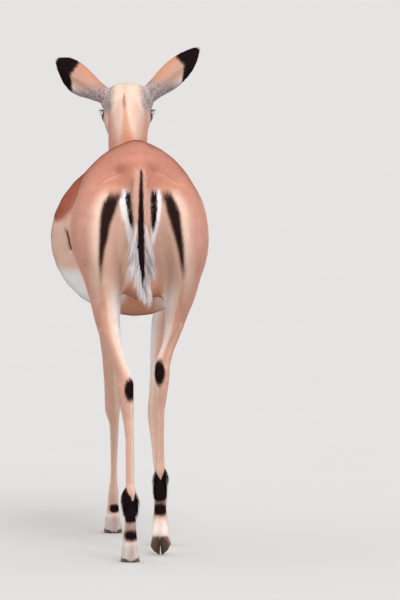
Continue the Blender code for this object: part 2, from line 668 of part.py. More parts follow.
def main():
    for obj in list(bpy.data.objects):
        bpy.data.objects.remove(obj)
    shown = new_collection("impala")
    workshop = new_collection("workshop")

    # Flesh: torso forms fused coarsely for soft joins, then everything fused finely
    upright = Matrix.Identity(3)
    udder = ellipsoid("udder_form", (0.006, 0.205, 0.560), (0.048, 0.055, 0.034), upright, workshop)
    legs = {
        "hind_left": HIND_LEFT,
        "hind_right": HIND_RIGHT,
        "fore_left": FORE_LEFT,
        "fore_right": FORE_RIGHT,
    }
    upper_rows = {"hind": 7, "fore": 6}
    torso_forms = [make_trunk(workshop), make_neck(workshop), udder]
    for leg, rows in legs.items():
        torso_forms.append(make_leg(leg + "_upper", rows[: upper_rows[leg[:4]]], workshop))
    torso = merged(joined("torso", torso_forms, workshop), TORSO_VOXEL, 6)
    forms = [torso, *make_head(workshop)]
    for leg, rows in legs.items():
        forms.append(make_leg(leg + "_lower", rows[upper_rows[leg[:4]] - 3 :], workshop))
    body = merged(joined("body", forms, workshop), BODY_VOXEL, 3, BODY_FACES)

    # Hooves, with the hair above them cut to the coronet plane
    for leg in legs:
        room = Vector((0.062, 0.110, 0.060))
        boolean(body, block("coronet_cut", coronet_frame(leg), room, workshop), "DIFFERENCE")
    floor = block("floor_cut", Matrix.Translation((0, 0.4, 0.0)), Vector((1, 2, 0.1)), workshop)
    for leg in legs:
        for side in (-1, 1):
            claw = make_claw(leg, side, workshop)
            boolean(claw, copy_of(floor, "floor", workshop), "DIFFERENCE")
            largest_body(claw)
            place(claw, claw.name, "horn", shown)
    bpy.data.objects.remove(floor)

    # Ears, eyes and tail are seated in pockets of the body
    frame = head_frame()
    seated = []
    for side in (-1, 1):
        ear = make_ear(side, workshop)
        plug = ear_plug(ear, "left" if side < 0 else "right", workshop)
        boolean(body, plug, "DIFFERENCE")
        seated.append((ear, ear.name, "ear"))
        at = frame @ Vector((EYE_AT.x * side, EYE_AT.y, EYE_AT.z))
        radii = (EYE_RADIUS,) * 3
        name = "eye_left" if side < 0 else "eye_right"
        seated.append((ellipsoid(name, at, radii, upright, workshop), name, "eye"))
    tail = make_leg("tail", TAIL, workshop, points=12, steps=2)
    seated.append((tail, "tail", "coat_fawn"))
    for piece, name, colour in seated:
        boolean(body, swollen(piece, GAP, workshop), "DIFFERENCE")
    largest_body(body)

    # Legs are parted from the trunk by slanting cuts, then at their joints
    for leg, (joint_heights, lengths) in LEG_JOINTS.items():
        limb = copy_of(body, leg, workshop)
        boolean(limb, room_block("leg_keep", LEG_ROOMS[leg], workshop), "INTERSECT")
        boolean(body, room_block("leg_cut", LEG_ROOMS[leg], workshop, GAP), "DIFFERENCE")
        rest = largest_body(limb)
        for height, name in zip(joint_heights, lengths):
            names = ("rest", "upper")
            rest, upper = part_at_plane(rest, (0, 0, height), (0, 0, 1), names, workshop)
            colour = "coat_fawn" if name in ("thigh", "forearm") else "coat_pale"
            place(largest_body(upper), f"{leg}_{name}", colour, shown)
        place(largest_body(rest), f"{leg}_{lengths[-1]}", "coat_pale", shown)
    largest_body(body)

    # Trunk, neck and head
    neck_base = (0, 0.745, 0.730)
    names = ("trunk", "head_and_neck")
    trunk, ahead = part_at_plane(body, neck_base, (0, 0.80, 0.60), names, workshop)
    names = ("neck", "head")
    neck, head = part_at_plane(ahead, (0, 0.945, 0.950), (0, 0.964, 0.265), names, workshop)
    place(largest_body(trunk), "trunk", "coat_red", shown)
    place(largest_body(neck), "neck", "coat_fawn", shown)
    place(largest_body(head), "head", "coat_fawn", shown)
    for piece, name, colour in seated:
        place(largest_body(piece), name, colour, shown)
    bpy.data.collections.remove(workshop)


main()
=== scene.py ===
import math
import time

import bpy
import numpy as np
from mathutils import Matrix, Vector
from mathutils.bvhtree import BVHTree


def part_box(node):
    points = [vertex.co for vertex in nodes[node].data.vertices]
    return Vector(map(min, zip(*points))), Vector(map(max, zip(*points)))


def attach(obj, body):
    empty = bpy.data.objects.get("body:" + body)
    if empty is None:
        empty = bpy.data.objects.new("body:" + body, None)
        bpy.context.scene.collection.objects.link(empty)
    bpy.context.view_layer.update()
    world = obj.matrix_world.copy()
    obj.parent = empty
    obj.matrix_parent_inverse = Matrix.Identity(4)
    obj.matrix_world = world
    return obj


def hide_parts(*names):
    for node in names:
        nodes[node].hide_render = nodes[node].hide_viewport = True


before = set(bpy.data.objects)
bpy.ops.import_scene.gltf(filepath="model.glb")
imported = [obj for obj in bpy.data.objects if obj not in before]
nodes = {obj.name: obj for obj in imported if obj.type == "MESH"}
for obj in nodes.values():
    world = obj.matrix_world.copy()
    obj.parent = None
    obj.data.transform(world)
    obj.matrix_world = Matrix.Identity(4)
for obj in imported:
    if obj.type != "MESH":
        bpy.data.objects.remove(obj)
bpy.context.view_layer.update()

bothSides = ("left", "right")
startedAt = time.time()


def say(stage):
    print(f"{time.time() - startedAt:6.1f} s  {stage}", flush=True)


# helpers for objects and meshes
def clearSelection():
    for thing in bpy.context.selected_objects:
        thing.select_set(False)


def selectOnly(*pieces):
    clearSelection()
    for piece in pieces:
        piece.select_set(True)
    bpy.context.view_layer.objects.active = pieces[0]


def modify(piece, kind, **settings):  # adds one modifier and applies it
    modifier = piece.modifiers.new(kind.lower(), kind)
    for key, value in settings.items():
        setattr(modifier, key, value)
    selectOnly(piece)
    bpy.ops.object.modifier_apply(modifier=modifier.name)


def edit(piece, step, faces=None):  # one edit-mode step, on all of a piece or on some of its faces
    selectOnly(piece)
    bpy.ops.object.mode_set(mode="EDIT")
    bpy.ops.mesh.select_all(action="SELECT" if faces is None else "DESELECT")
    if faces is not None:
        bpy.ops.object.mode_set(mode="OBJECT")
        piece.data.polygons.foreach_set("select", faces)
        bpy.ops.object.mode_set(mode="EDIT")
    step()
    bpy.ops.object.mode_set(mode="OBJECT")


def read(items, key, width, kind=float):
    flat = np.empty(len(items) * width, kind)
    items.foreach_get(key, flat)
    return flat.reshape(-1, width)


def pointsOf(mesh):
    return read(mesh.vertices, "co", 3)


def normalsOf(mesh):
    return read(mesh.vertex_normals, "vector", 3, np.float32).astype(float)


def edgesOf(mesh):
    return read(mesh.edges, "vertices", 2, np.int32)


def cornersOf(mesh):  # of a mesh of triangles
    return read(mesh.polygons, "vertices", 3, np.int32)


def movePoints(mesh, places):
    mesh.vertices.foreach_set("co", np.ascontiguousarray(places, np.float32).ravel())
    mesh.update()


def store(mesh, name, values):  # a vector for each vertex
    layer = mesh.attributes.new(name, "FLOAT_VECTOR", "POINT")
    layer.data.foreach_set("vector", np.asarray(values, np.float32).ravel())


def evenOut(values, edges, rounds):  # averages a value over its neighbours, round after round
    field = values.reshape(len(values), -1).copy()
    count = np.bincount(edges.ravel(), minlength=len(field)).clip(1)[:, None]
    for _ in range(rounds):
        total = [np.bincount(edges[:, 0], column[edges[:, 1]], len(field))
                 + np.bincount(edges[:, 1], column[edges[:, 0]], len(field)) for column in field.T]
        field = (field + np.stack(total, 1) / count) / 2
    return field.reshape(values.shape)


def weigh(piece, name, values, steps):  # a vertex group in a few even steps of weight
    group = piece.vertex_groups.new(name=name)
    for step in range(1, steps + 1):
        group.add(np.flatnonzero(np.round(values * steps) == step).tolist(), step / steps, "REPLACE")


def length(vectors):
    return np.linalg.norm(vectors, axis=-1)


def unit(vectors):
    return vectors / length(vectors)[..., None].clip(1e-9)


def ease(value, start, end):  # 0 before start, 1 after end, smooth between
    t = np.clip((value - start) / (end - start), 0, 1)
    return t * t * (3 - 2 * t)


def fade(value, start, end):  # 1 before start, 0 after end
    return 1 - ease(value, start, end)


def metres(rows):  # a table written in millimetres, sorted by its first column
    return np.array(sorted(rows)) / 1000


def lookUp(rows, value, column=1):  # reads a table between its rows
    return np.interp(value, rows[:, 0], rows[:, column])


def pathDistance(places, path):  # how far places are from a bent line, or from a single spot
    best = np.full(len(places), 9.0)
    for one, two in zip(path, path[1:] or path):
        one, two = np.array(one), np.array(two)
        step = two - one
        share = np.clip(((places - one) @ step) / max(step @ step, 1e-12), 0, 1)
        best = np.minimum(best, length(places - one - share[:, None] * step))
    return best


# one skin from all the lengths of flesh
skinSize = {
    "spread": 0.0006,  # closes the hair-wide cuts between the lengths
    "voxel": 0.0025, "rounds": 90, "keepFaces": 0.262,
    "tuftDepth": 0.0065,  # extra under the long black tufts of the hind cannons
}
coatOf = {  # depth of the coat, smoothing, lie, and a tuft's length, half width, lift and skin under it, in mm
    "trunk": (2.6, 1.0, (0, -1, -0.35), (12, 0.55, 1.2, 4.5)),
    "neck": (2.6, 1.0, (0, -0.76, -0.65), (11.5, 0.52, 1.2, 4.1)),
    "head": (1.2, 0.25, (0, -0.80, 0.60), (5.2, 0.32, 0.6, 1.9)),
    "forearm": (1.8, 0.5, (0, -0.1, -1), (8.8, 0.44, 1.0, 3.1)),
    "ear": (0.5, 0.06, (0, 0, 1), (5.8, 0.32, 0.6, 2.1)),
    "tail": (3.0, 0.25, (0, 0, -1), (12, 0.50, 1.8, 2.6)),
    "thigh": (2.6, 0.9, (0, -0.40, -1), (11, 0.52, 1.2, 4.1)),
    "gaskin": (1.8, 0.5, (0, 0.15, -1), (8.8, 0.44, 1.0, 3.1)),
    "cannon": (1.4, 0.3, (0, 0, -1), (6.8, 0.38, 0.8, 2.5)),
    "pastern": (1.4, 0.22, (0, -0.1, -1), (6.2, 0.38, 0.8, 2.5)),
}
partKinds = list(coatOf)
fleshNodes = [name for name in sorted(nodes) if "eye" not in name and "claw" not in name]
kindOfNode = np.array([next(i for i, kind in enumerate(partKinds) if kind in name) for name in fleshNodes])


def copyNodes(names, title):  # CAD nodes as one new piece, its doubles merged
    copies = []
    for name in names:
        twin = nodes[name].copy()
        twin.data = nodes[name].data.copy()
        twin.parent = None
        bpy.context.scene.collection.objects.link(twin)
        for key in list(twin.keys()):
            del twin[key]
        copies.append(twin)
    selectOnly(*copies)
    if len(copies) > 1:
        bpy.ops.object.join()
    piece = bpy.context.view_layer.objects.active
    piece.name = piece.data.name = title
    piece.data.materials.clear()
    edit(piece, lambda: bpy.ops.mesh.remove_doubles(threshold=0.00001))
    return piece


def fleshTree():
    corners, faces, owners = [], [], []
    for number, name in enumerate(fleshNodes):
        mesh, first = nodes[name].data, len(corners)
        corners += [v.co.copy() for v in mesh.vertices]
        faces += [[first + i for i in p.vertices] for p in mesh.polygons]
        owners += [number] * len(mesh.polygons)
    return BVHTree.FromPolygons(corners, faces), np.array(owners)


def homesOf(places):  # the length of flesh that each point belongs to
    return faceOwners[[flesh.find_nearest(place)[2] for place in places]]


def byKind(column, homes):
    return np.array([coatOf[kind][column] for kind in partKinds])[kindOfNode[homes]]


def spineOf(name, height):  # middle of a length of flesh at some heights
    points = pointsOf(nodes[name].data)
    rows = np.linspace(points[:, 2].min(), points[:, 2].max(), 14)
    middles = []
    for low, high in zip(rows, rows[1:]):
        slab = points[(points[:, 2] >= low - 0.004) & (points[:, 2] <= high + 0.004)]
        middles.append([(low + high) / 2, *((slab.min(0) + slab.max(0)) / 2)[:2]])
    middles = np.array(middles)
    return np.stack([lookUp(middles, height, k) for k in (1, 2)], 1)


flesh, faceOwners = fleshTree()
skin = copyNodes(fleshNodes + ["eye_left", "eye_right"], "skin")
modify(skin, "DISPLACE", strength=skinSize["spread"], mid_level=0, direction="NORMAL")
modify(skin, "REMESH", mode="VOXEL", voxel_size=skinSize["voxel"], use_smooth_shade=True)
rough = pointsOf(skin.data)
edges = edgesOf(skin.data)
homes = homesOf(rough)
weigh(skin, "sleek", evenOut(byKind(1, homes), edges, 12), 20)
modify(skin, "SMOOTH", factor=0.5, iterations=skinSize["rounds"], vertex_group="sleek")
say("skin smoothed")

legTufts = {  # black tufts above the hind fetlocks: middle, half width, top corners and notch of the patch
    "left": {"middle": 0.0027, "low": 0.0861, "wide": 0.1153,
             "notch": (0.0050, 0.1275), "slopes": (1.97, 4.3),
             "rows": metres([(86, 9), (100, 15), (115.3, 19), (130, 18), (145, 12.5), (156, 8)])},
    "right": {"middle": 0.0632, "low": 0.1153, "wide": 0.1500,
              "notch": (0.0010, 0.1584), "slopes": (1.74, 2.66),
              "rows": metres([(115, 10), (130, 16), (150, 20), (163, 18), (175, 13), (185, 9)])},
}
tailCore = np.array([  # height, share of the width and of the thickness that is tail and not long hair
    (0.530, 0.12, 0.3), (0.560, 0.16, 0.5), (0.585, 0.20, 0.65), (0.605, 0.25, 0.7),
    (0.635, 0.40, 0.8), (0.670, 0.66, 0.9), (0.700, 0.85, 1.0), (0.740, 1.0, 1.0)])
tailEnd = 0.575

smooth, normal = pointsOf(skin.data), normalsOf(skin.data)
sunk = evenOut(((smooth - rough) * normal).sum(1), edges, 60)
depth = byKind(0, homes) / 1000
for tuft in legTufts.values():
    high = abs(smooth[:, 2] - tuft["wide"])
    near = (high < 0.03) & (abs(smooth[:, 0] - tuft["middle"]) < 0.03) & (smooth[:, 1] < -0.3)
    depth = depth + near * skinSize["tuftDepth"] * fade(high, 0.012, 0.030)
depth = evenOut(depth, edges, 20)
laid = smooth - normal * (sunk + skinSize["spread"] + depth)[:, None]
inTail = evenOut(np.isin(homes, [fleshNodes.index("tail")]) * 1.0, edges, 3)[:, None]
middle = spineOf("tail", laid[:, 2])
shares = np.stack([lookUp(tailCore, laid[:, 2], k) for k in (1, 2)], 1)
slim = laid.copy()
slim[:, :2] = middle + (laid[:, :2] - middle) * shares
slim[:, 2] = np.where(laid[:, 2] < tailEnd, tailEnd - (tailEnd - laid[:, 2]) * 0.35, laid[:, 2])
movePoints(skin.data, laid + (slim - laid) * inTail)
say("skin laid under the coat")

bodyForms = {  # bones, muscles and folds: a line under the coat, how wide it works and how far it lifts, in mm
    "spine": ([(16, -500, 838), (14, -380, 855), (8, -240, 842), (2, 20, 824)], 11, 2.8),
    "creaseLeft": ([(-64, -528, 775), (-43, -526, 792), (-15, -533, 804)], 8, -2.2),
    "creaseRight": ([(47, -537, 806), (75, -522, 798), (99, -519, 780)], 8, -2.2),
    "foldLeft": ([(-130.1, -262, 663.3), (-126.5, -267, 649), (-122, -269, 630)], 4, -4.5),
    "hipLeft": ([(-88, -345, 800), (-104, -372, 782)], 16, 4.0),
    "hipRight": ([(126, -330, 790), (138, -358, 772)], 16, 4.0),
    "croupLeft": ([(-20, -530, 795), (-75, -440, 806)], 8, -1.6),
    "croupRight": ([(58, -528, 795), (112, -430, 800)], 8, -1.6),
    "hamLeft": ([(-100, -560, 700), (-98, -548, 620), (-80, -530, 540)], 10, -2.2),
    "hamRight": ([(140, -550, 700), (146, -530, 620), (130, -480, 540)], 10, -2.2),
    "stifleLeft": ([(-85, -330, 560), (-95, -270, 585), (-110, -215, 590)], 16, 4.5),
    "stifleRight": ([(125, -300, 560), (130, -235, 585), (130, -180, 590)], 16, 4.5),
    "tendonLeft": ([(-68, -500, 475), (-48, -540, 420), (-30, -560, 372)], 7, -3.0),
    "tendonRight": ([(112, -410, 480), (92, -418, 440), (78, -430, 402)], 7, -3.0),
    "bladeLeft": ([(-75, 0, 775), (-100, 60, 690), (-98, 120, 640)], 22, 3.0),
    "bladeRight": ([(70, -5, 775), (90, 45, 690), (88, 105, 640)], 22, 3.0),
    "behindBladeLeft": ([(-88, -60, 755), (-115, -45, 680), (-110, -25, 590)], 26, -2.6),
    "behindBladeRight": ([(88, -65, 755), (110, -55, 680), (100, -45, 590)], 26, -2.6),
    "upperArmLeft": ([(-108, 40, 610), (-100, 75, 560)], 20, 4.0),
    "upperArmRight": ([(100, 20, 610), (95, 45, 560)], 20, 4.0),
    "throatLeft": ([(-50, 330, 800), (-60, 220, 720), (-62, 150, 660)], 10, -2.2),
    "throatRight": ([(34, 330, 800), (46, 220, 720), (48, 150, 660)], 10, -2.2),
}
formLines = {name: (np.array(path) / 1000).tolist() for name, (path, _, _) in bodyForms.items()}
places, outward = pointsOf(skin.data), normalsOf(skin.data)
lift = np.zeros(len(places))
for name, (_, wide, high) in bodyForms.items():
    wide = wide / 1000
    off = np.maximum(pathDistance(places, formLines[name]) - wide * 0.5, 0) / wide
    lift += high / 1000 * np.exp(-0.5 * off ** 2)
movePoints(skin.data, places + outward * lift[:, None])
say("bones, muscles and folds raised")

onHead = np.isin(kindOfNode[homes], [partKinds.index("head"), partKinds.index("ear")])
weigh(skin, "loose", 1 - evenOut(onHead * 1.0, edges, 6), 10)
modify(skin, "DECIMATE", ratio=skinSize["keepFaces"], vertex_group="loose", use_collapse_triangulate=True)
skin.vertex_groups.clear()
say(f"skin thinned, {len(skin.data.polygons)} faces")


# lids, nostrils and mouth
pollPlace = np.array((-0.0055, 0.393, 0.951))  # between the ears, with the face sloping down from it
faceSlope = math.radians(30)
faceAhead = np.array((0, math.cos(faceSlope), -math.sin(faceSlope)))
faceUp = np.array((0, math.sin(faceSlope), math.cos(faceSlope)))
eyeShape = {"ball": 0.0158, "lid": 0.0168, "halfLong": 0.0148, "halfHigh": 0.0098, "rim": 0.0030,
            "gaze": {"left": (-1.0, 0.30, 0.06), "right": (1.0, 0.30, 0.06)}, "slant": 14}
muzzleShape = {  # on the face: across, along it from the poll, and up from it
    "nostril": (0.0125, 0.2620, -0.0490), "nostrilSize": (0.0042, 0.0060, 0.0034), "nostrilDepth": 0.0055,
    "nostrilRim": 0.0010,
    "mouth": [(0.0, 0.2690, -0.0650), (0.010, 0.2660, -0.0648), (0.018, 0.2540, -0.0640),
              (0.0235, 0.2350, -0.0640), (0.0265, 0.2100, -0.0660), (0.0280, 0.1920, -0.0700)],
    "mouthWidth": 0.0016, "mouthDepth": 0.0030, "lipSwell": 0.0012, "groove": 0.0012,
    "padFrom": 0.2530, "padLow": -0.0620, "padWide": 0.0130, "padRound": 0.0070,
    "padRows": metres([(-62, 4), (-55, 9), (-50, 13), (-44, 13), (-38, 10.5)]),
}


def onFace(places):  # across, along the face from the poll, and up from it
    away = places - pollPlace
    return np.stack([away[:, 0], away @ faceAhead, away @ faceUp], 1)


def mirrored(places):  # places on the face, both halves as one
    spot = onFace(places)
    spot[:, 0] = abs(spot[:, 0])
    return spot


def eyeFrame(side):  # centre, way it looks, way to the nose, way up
    low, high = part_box("eye_" + side)
    across, ahead, above = eyeShape["gaze"][side]
    look = unit(across * np.array((1, 0, 0)) + ahead * faceAhead + above * faceUp)
    along = faceAhead - look * (faceAhead @ look)
    up = unit(np.cross(look, along) * (1 if side == "left" else -1))
    up = up if up[2] > 0 else -up
    along, tilt = unit(along), math.radians(eyeShape["slant"])
    along, up = along * math.cos(tilt) - up * math.sin(tilt), up * math.cos(tilt) + along * math.sin(tilt)
    return np.array((low + high) / 2), look, along, up


def lidRing(away, along, up, spare=0.0):  # 1 on the edge of the opening between the lids
    across, high = away @ along / (eyeShape["halfLong"] + spare), away @ up / (eyeShape["halfHigh"] + spare)
    return np.sqrt(across ** 2 + high ** 2)


def lidHeight(across):  # half height of the opening at a place along it
    return eyeShape["halfHigh"] * np.clip(1 - (across / eyeShape["halfLong"]) ** 2, 0, 1) ** 0.75


def allTriangles(piece):
    edit(piece, bpy.ops.mesh.quads_convert_to_tris)


def refine(piece, near):  # halves the edges of the faces around some places
    middles = pointsOf(piece.data)[cornersOf(piece.data)].mean(1)
    edit(piece, lambda: bpy.ops.mesh.subdivide(number_cuts=1), near(middles))
    allTriangles(piece)


def nearEyes(places):
    return np.min([length(places - eyeFrame(side)[0]) for side in bothSides], 0) < 0.027


def nostrilSpan(spot):  # 0 in the middle of a nostril, 1 at its edge
    return length((spot - muzzleShape["nostril"]) / muzzleShape["nostrilSize"])


def nearMouth(places):
    spot = mirrored(places)
    groove = (spot[:, 0] < 0.004) & (spot[:, 1] > muzzleShape["padFrom"])
    return (pathDistance(spot, muzzleShape["mouth"]) < 0.0065) | (nostrilSpan(spot) < 2.4) | groove


def cutAway():
    bpy.ops.mesh.delete(type="FACE")
    bpy.ops.mesh.select_all(action="DESELECT")


def openEye(side):
    centre, look, along, up = eyeFrame(side)
    mesh = skin.data
    points = pointsOf(mesh)
    away = points - centre
    far = length(away)
    a, b = away @ along, away @ up
    near = (far < 0.026) & (away @ look > 0)
    span = np.sqrt((a / eyeShape["halfLong"]) ** 2 + (b / (eyeShape["halfHigh"] * 1.25)) ** 2)
    points += (away / far[:, None]) * ((eyeShape["lid"] - far) * near * fade(span, 1.05, 1.75))[:, None]
    movePoints(mesh, points)
    inside = near & (abs(b) < lidHeight(a)) & (abs(a) < eyeShape["halfLong"])
    edit(skin, cutAway, inside[cornersOf(mesh)].all(1))
    # the rim goes on to the almond, then turns in over the eyeball
    loops = read(mesh.loops, "edge_index", 1, np.int32)[:, 0]
    lone = np.bincount(loops, minlength=len(mesh.edges)) == 1
    ends, points = edgesOf(mesh), pointsOf(mesh)
    lone &= length(points[ends[:, 0]] - centre) < 0.022
    for i in np.unique(ends[lone]):
        turn = points[i] - centre
        angle = math.atan2(turn @ up / eyeShape["halfHigh"], turn @ along / eyeShape["halfLong"])
        p = eyeShape["halfLong"] * math.cos(angle)
        q = math.copysign(float(lidHeight(np.array(p))), math.sin(angle))
        points[i] = centre + along * p + up * q + look * math.sqrt(max(eyeShape["lid"] ** 2 - p * p - q * q, 0))
    movePoints(mesh, points)
    mesh.edges.foreach_set("select", lone)
    bpy.ops.object.mode_set(mode="EDIT")
    bpy.ops.mesh.extrude_edges_move()
    bpy.ops.object.mode_set(mode="OBJECT")
    fresh = read(mesh.vertices, "select", 1, bool)
    points = pointsOf(mesh)
    away = points - centre
    turned = centre + away * ((eyeShape["lid"] - eyeShape["rim"]) / length(away))[:, None]
    movePoints(mesh, np.where(fresh, turned, points))
    allTriangles(skin)


refine(skin, nearEyes)
refine(skin, lambda places: onFace(places)[:, 1] > 0.222)
refine(skin, nearMouth)
for side in bothSides:
    openEye(side)
points, normal = pointsOf(skin.data), normalsOf(skin.data)
spot, mirror, shape = onFace(points), mirrored(points), muzzleShape
pit = nostrilSpan(mirror)
rimOfPit = shape["nostrilRim"] * np.exp(-((pit - 1.5) / 0.35) ** 2) * (spot[:, 1] > 0.2)
sink = shape["nostrilDepth"] * fade(pit, 0.3, 1.2) - rimOfPit
fromMouth = pathDistance(mirror, shape["mouth"]) / shape["mouthWidth"]
swell = shape["lipSwell"] * np.exp(-((fromMouth - 2.6) / 1.2) ** 2)
sink += ease(spot[:, 1], 0.18, 0.21) * (shape["mouthDepth"] * np.exp(-fromMouth ** 2) - swell)
onPad = ease(spot[:, 1], shape["padFrom"], shape["padFrom"] + 0.004)
onPad = onPad * ease(spot[:, 2], shape["padLow"], shape["padLow"] + 0.003)
sink += shape["groove"] * np.exp(-(spot[:, 0] / 0.0012) ** 2) * onPad
movePoints(skin.data, points - normal * sink[:, None])
say(f"face shaped, {len(skin.data.polygons)} faces")


# which way the coat lies
def earAxis(name):  # from the root of an ear to its tip
    low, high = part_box("head")
    points = pointsOf(nodes[name].data)
    far = length(points - np.array((low + high) / 2))
    return unit(points[far > far.max() - 0.004].mean(0) - points[far < far.min() + 0.012].mean(0))


skinPoints, skinNormals, skinEdges = pointsOf(skin.data), normalsOf(skin.data), edgesOf(skin.data)
skinHomes = homesOf(skinPoints)
lie = np.array([earAxis(name) if "ear_" in name else unit(np.array(coatOf[partKinds[kind]][2], float))
                for name, kind in zip(fleshNodes, kindOfNode)])[skinHomes]
onBody = ~np.isin(kindOfNode[skinHomes], [partKinds.index("head"), partKinds.index("ear")])
lie[:, 2] -= onBody * ease(abs(skinNormals[:, 1]), 0.35, 0.85) * 2.0  # hair drops down on the ends of the body
lie = evenOut(lie, skinEdges, 30)
lie = unit(lie - skinNormals * (lie * skinNormals).sum(1)[:, None])
say("lie of the coat worked out")


# markings, the same for skin and coat
tailLow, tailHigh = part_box("tail")
# where the tail leaves the rump
dock = Vector((0.5 * (tailLow.x + tailHigh.x) - 0.005, tailHigh.y, tailHigh.z))
rumpStripes = {  # from the dock: height, inner edge and outer edge across
    "left": metres([(-50, -36, -63), (-65, -45, -73.5), (-87, -51.5, -79.5), (-112, -61, -81.5),
                    (-137, -64.5, -82.4), (-161, -71.6, -83.4),
                    (-186, -75.2, -83.8), (-210, -77.3, -83.4), (-230, -80, -83)]),
    "right": metres([(-48, 44.8, 63), (-65, 50.5, 71.6), (-87, 55.6, 81.3), (-112, 62.9, 83.8),
                     (-137, 70.2, 87), (-161, 76.5, 89.5),
                     (-186, 81.4, 90.7), (-206, 83.8, 93.6), (-222, 86, 93)]),
}
# the black patches are dark bare skin beside the tail, with the shadow under the tail painted in
tailPatches = {
    "leftBlack": metres([(-42, -29.5, -19), (-60, -30, -18), (-75, -26.4, -17), (-99, -23.5, -14),
                         (-112, -20.5, -14.5), (-118, -17.5, -15.5)]),
    "rightBlack": metres([(-42, 22.3, 35), (-75, 21.8, 35.2), (-99, 22.5, 33.7), (-115, 24, 31),
                          (-124, 25.5, 28.5)]),
    "leftWhite": metres([(-40, -37, -20), (-60, -42.5, -18), (-87, -37.6, -16), (-112, -30, -15),
                         (-130, -26.5, -14.5), (-152, -21.5, -14)]),
    "rightWhite": metres([(-40, 24, 41), (-60, 24, 43.5), (-87, 24, 42), (-112, 24, 37),
                          (-130, 23.5, 33), (-152, 23, 29)]),
}
tailLine = metres([  # height, middle and half width of the black line
    (580, 26.7, 1.0), (589.4, 26.7, 4.2), (605, 25.5, 6.0), (636.2, 23.5, 7.2), (676, 23.5, 6.4),
    (709.4, 24, 5.5), (759, 24, 3.6), (785, 24, 2.0), (808, 24, 1.4)])
sideColour = {"saddleEdge": 0.687, "bellyFrom": 0.572, "bellyTo": 0.604, "rumpSaddle": 0.765, "waveHigh": 0.005}
hockSpots = {"left": ((0.0025, 0.358), (0.0122, 0.0225)), "right": ((0.0617, 0.3845), (0.0106, 0.0255))}
footSpots = {  # behind each fetlock: middle across, half width, low and high edge of black, top of white
    "hind_left": (0.0038, 0.0132, 0.0460, 0.0690, 0.0480),
    "hind_right": (0.0630, 0.0138, 0.0835, 0.1110, 0.0780),
    "fore_left": (-0.0327, 0.0100, 0.0455, 0.0640, 0.0460),
    "fore_right": (0.0666, 0.0100, 0.0455, 0.0640, 0.0460),
}
markNames = ("russet", "tan", "cream", "orange", "grey", "white", "black", "brown", "bare")


def isNode(homes, *words):
    return np.isin(homes, [i for i, name in enumerate(fleshNodes) if all(word in name for word in words)])


class Marks:  # how much of each colour there is at some places, share says how far each belongs to each kind
    def __init__(self, places, facing, homes, share):
        self.places, self.facing, self.homes = places, facing, homes
        self.x, self.y, self.z = places.T
        self.back = -facing[:, 1]  # 1 where the coat faces backward
        self.kind = dict(zip(partKinds, share.T))
        self.share = {name: np.zeros(len(places)) for name in markNames}

    def lay(self, name, amount):  # lays one colour over those already there
        for other in markNames[:-1]:
            self.share[other] = self.share[other] * (1 - amount)
        self.share[name] = self.share[name] + amount

    def bare(self, amount):  # leaves the skin without hair
        self.share["bare"] = np.maximum(self.share["bare"], amount)

    def kinds(self, *names):
        return sum(self.kind[name] for name in names)

    def node(self, *words):
        return isNode(self.homes, *words)


def between(rows, across, height, soft, ends=0.004, grow=0.0):  # 1 inside a ribbon given by its two edges
    one, two = lookUp(rows, height, 1), lookUp(rows, height, 2)
    inside = ease(abs(two - one) / 2 + grow - abs(across - (one + two) / 2), -soft, soft)
    low, high = rows[0, 0] - grow, rows[-1, 0] + grow
    return inside * ease(height, low - ends, low + ends) * fade(height, high - ends, high + ends)


def blob(places, centre, size, soft=0.2):  # a soft egg-shaped spot
    return fade(length((places - np.array(centre)) / np.array(size)), 1 - soft, 1 + soft)


def flecks(places):  # a number between 0 and 1 that changes from one spot to the next
    jumps = np.sin(places @ np.array((1271.0, 3117.0, 2233.0))) * 4375.5
    return jumps - np.floor(jumps)


def sideMarks(m):  # saddle, flank and belly, with painted bounce light between the hind legs
    y, z, look = m.y, m.z, sideColour
    trunk, neck, thigh = m.kind["trunk"], m.kind["neck"], m.kind["thigh"]
    wave = look["waveHigh"] * (np.sin(17 * y + 1.0) + 0.6 * np.sin(41 * y + 2.0))
    ahead = ease(y, -0.47, -0.20)
    edge = look["saddleEdge"] * ahead + look["rumpSaddle"] * (1 - ahead) + wave
    edge = edge + 0.22 * ((y - 0.05) / 0.34).clip(0, 1.2)
    blur = 0.009 * ahead + 0.060 * (1 - ahead) + 0.030 * ease(y, 0.0, 0.12)
    strength = (0.40 + 0.60 * ease(y, -0.50, -0.18)) * (1 - 0.50 * ease(y, -0.02, 0.16))
    saddle = ease(z, edge - blur, edge + blur)
    m.lay("russet", (trunk + thigh + neck).clip(0, 1) * strength * saddle)
    m.lay("tan", (trunk + neck * 0.6 + thigh * 0.5).clip(0, 1) * ahead * 0.80 * (1 - saddle))
    m.lay("cream", trunk * ahead * fade(y, -0.10, 0.02) * (1 - saddle) * 0.55)
    under = fade(z, look["bellyFrom"] + wave, look["bellyTo"] + wave)
    # painted bounce light: warm light from the ground, laid as orange and russet on the white belly between the
    # hind legs, only where it faces backward in shade
    groinBounceLight = fade(abs(m.x - 0.022), 0.070, 0.115) * fade(y, -0.20, -0.06) * ease(m.back, -0.08, 0.10)
    groinBounceLight = groinBounceLight * fade(abs(m.facing[:, 0]), 0.20, 0.50)
    m.lay("white", trunk * under * ease(y, -0.42, -0.32) * fade(y, 0.08, 0.18) * (1 - groinBounceLight))
    m.lay("orange", trunk * under * groinBounceLight * 0.75)
    m.lay("russet", trunk * under * groinBounceLight * 0.28)
    m.lay("cream", trunk * ease(y, 0.04, 0.14) * fade(z, 0.56, 0.63) * 0.7)


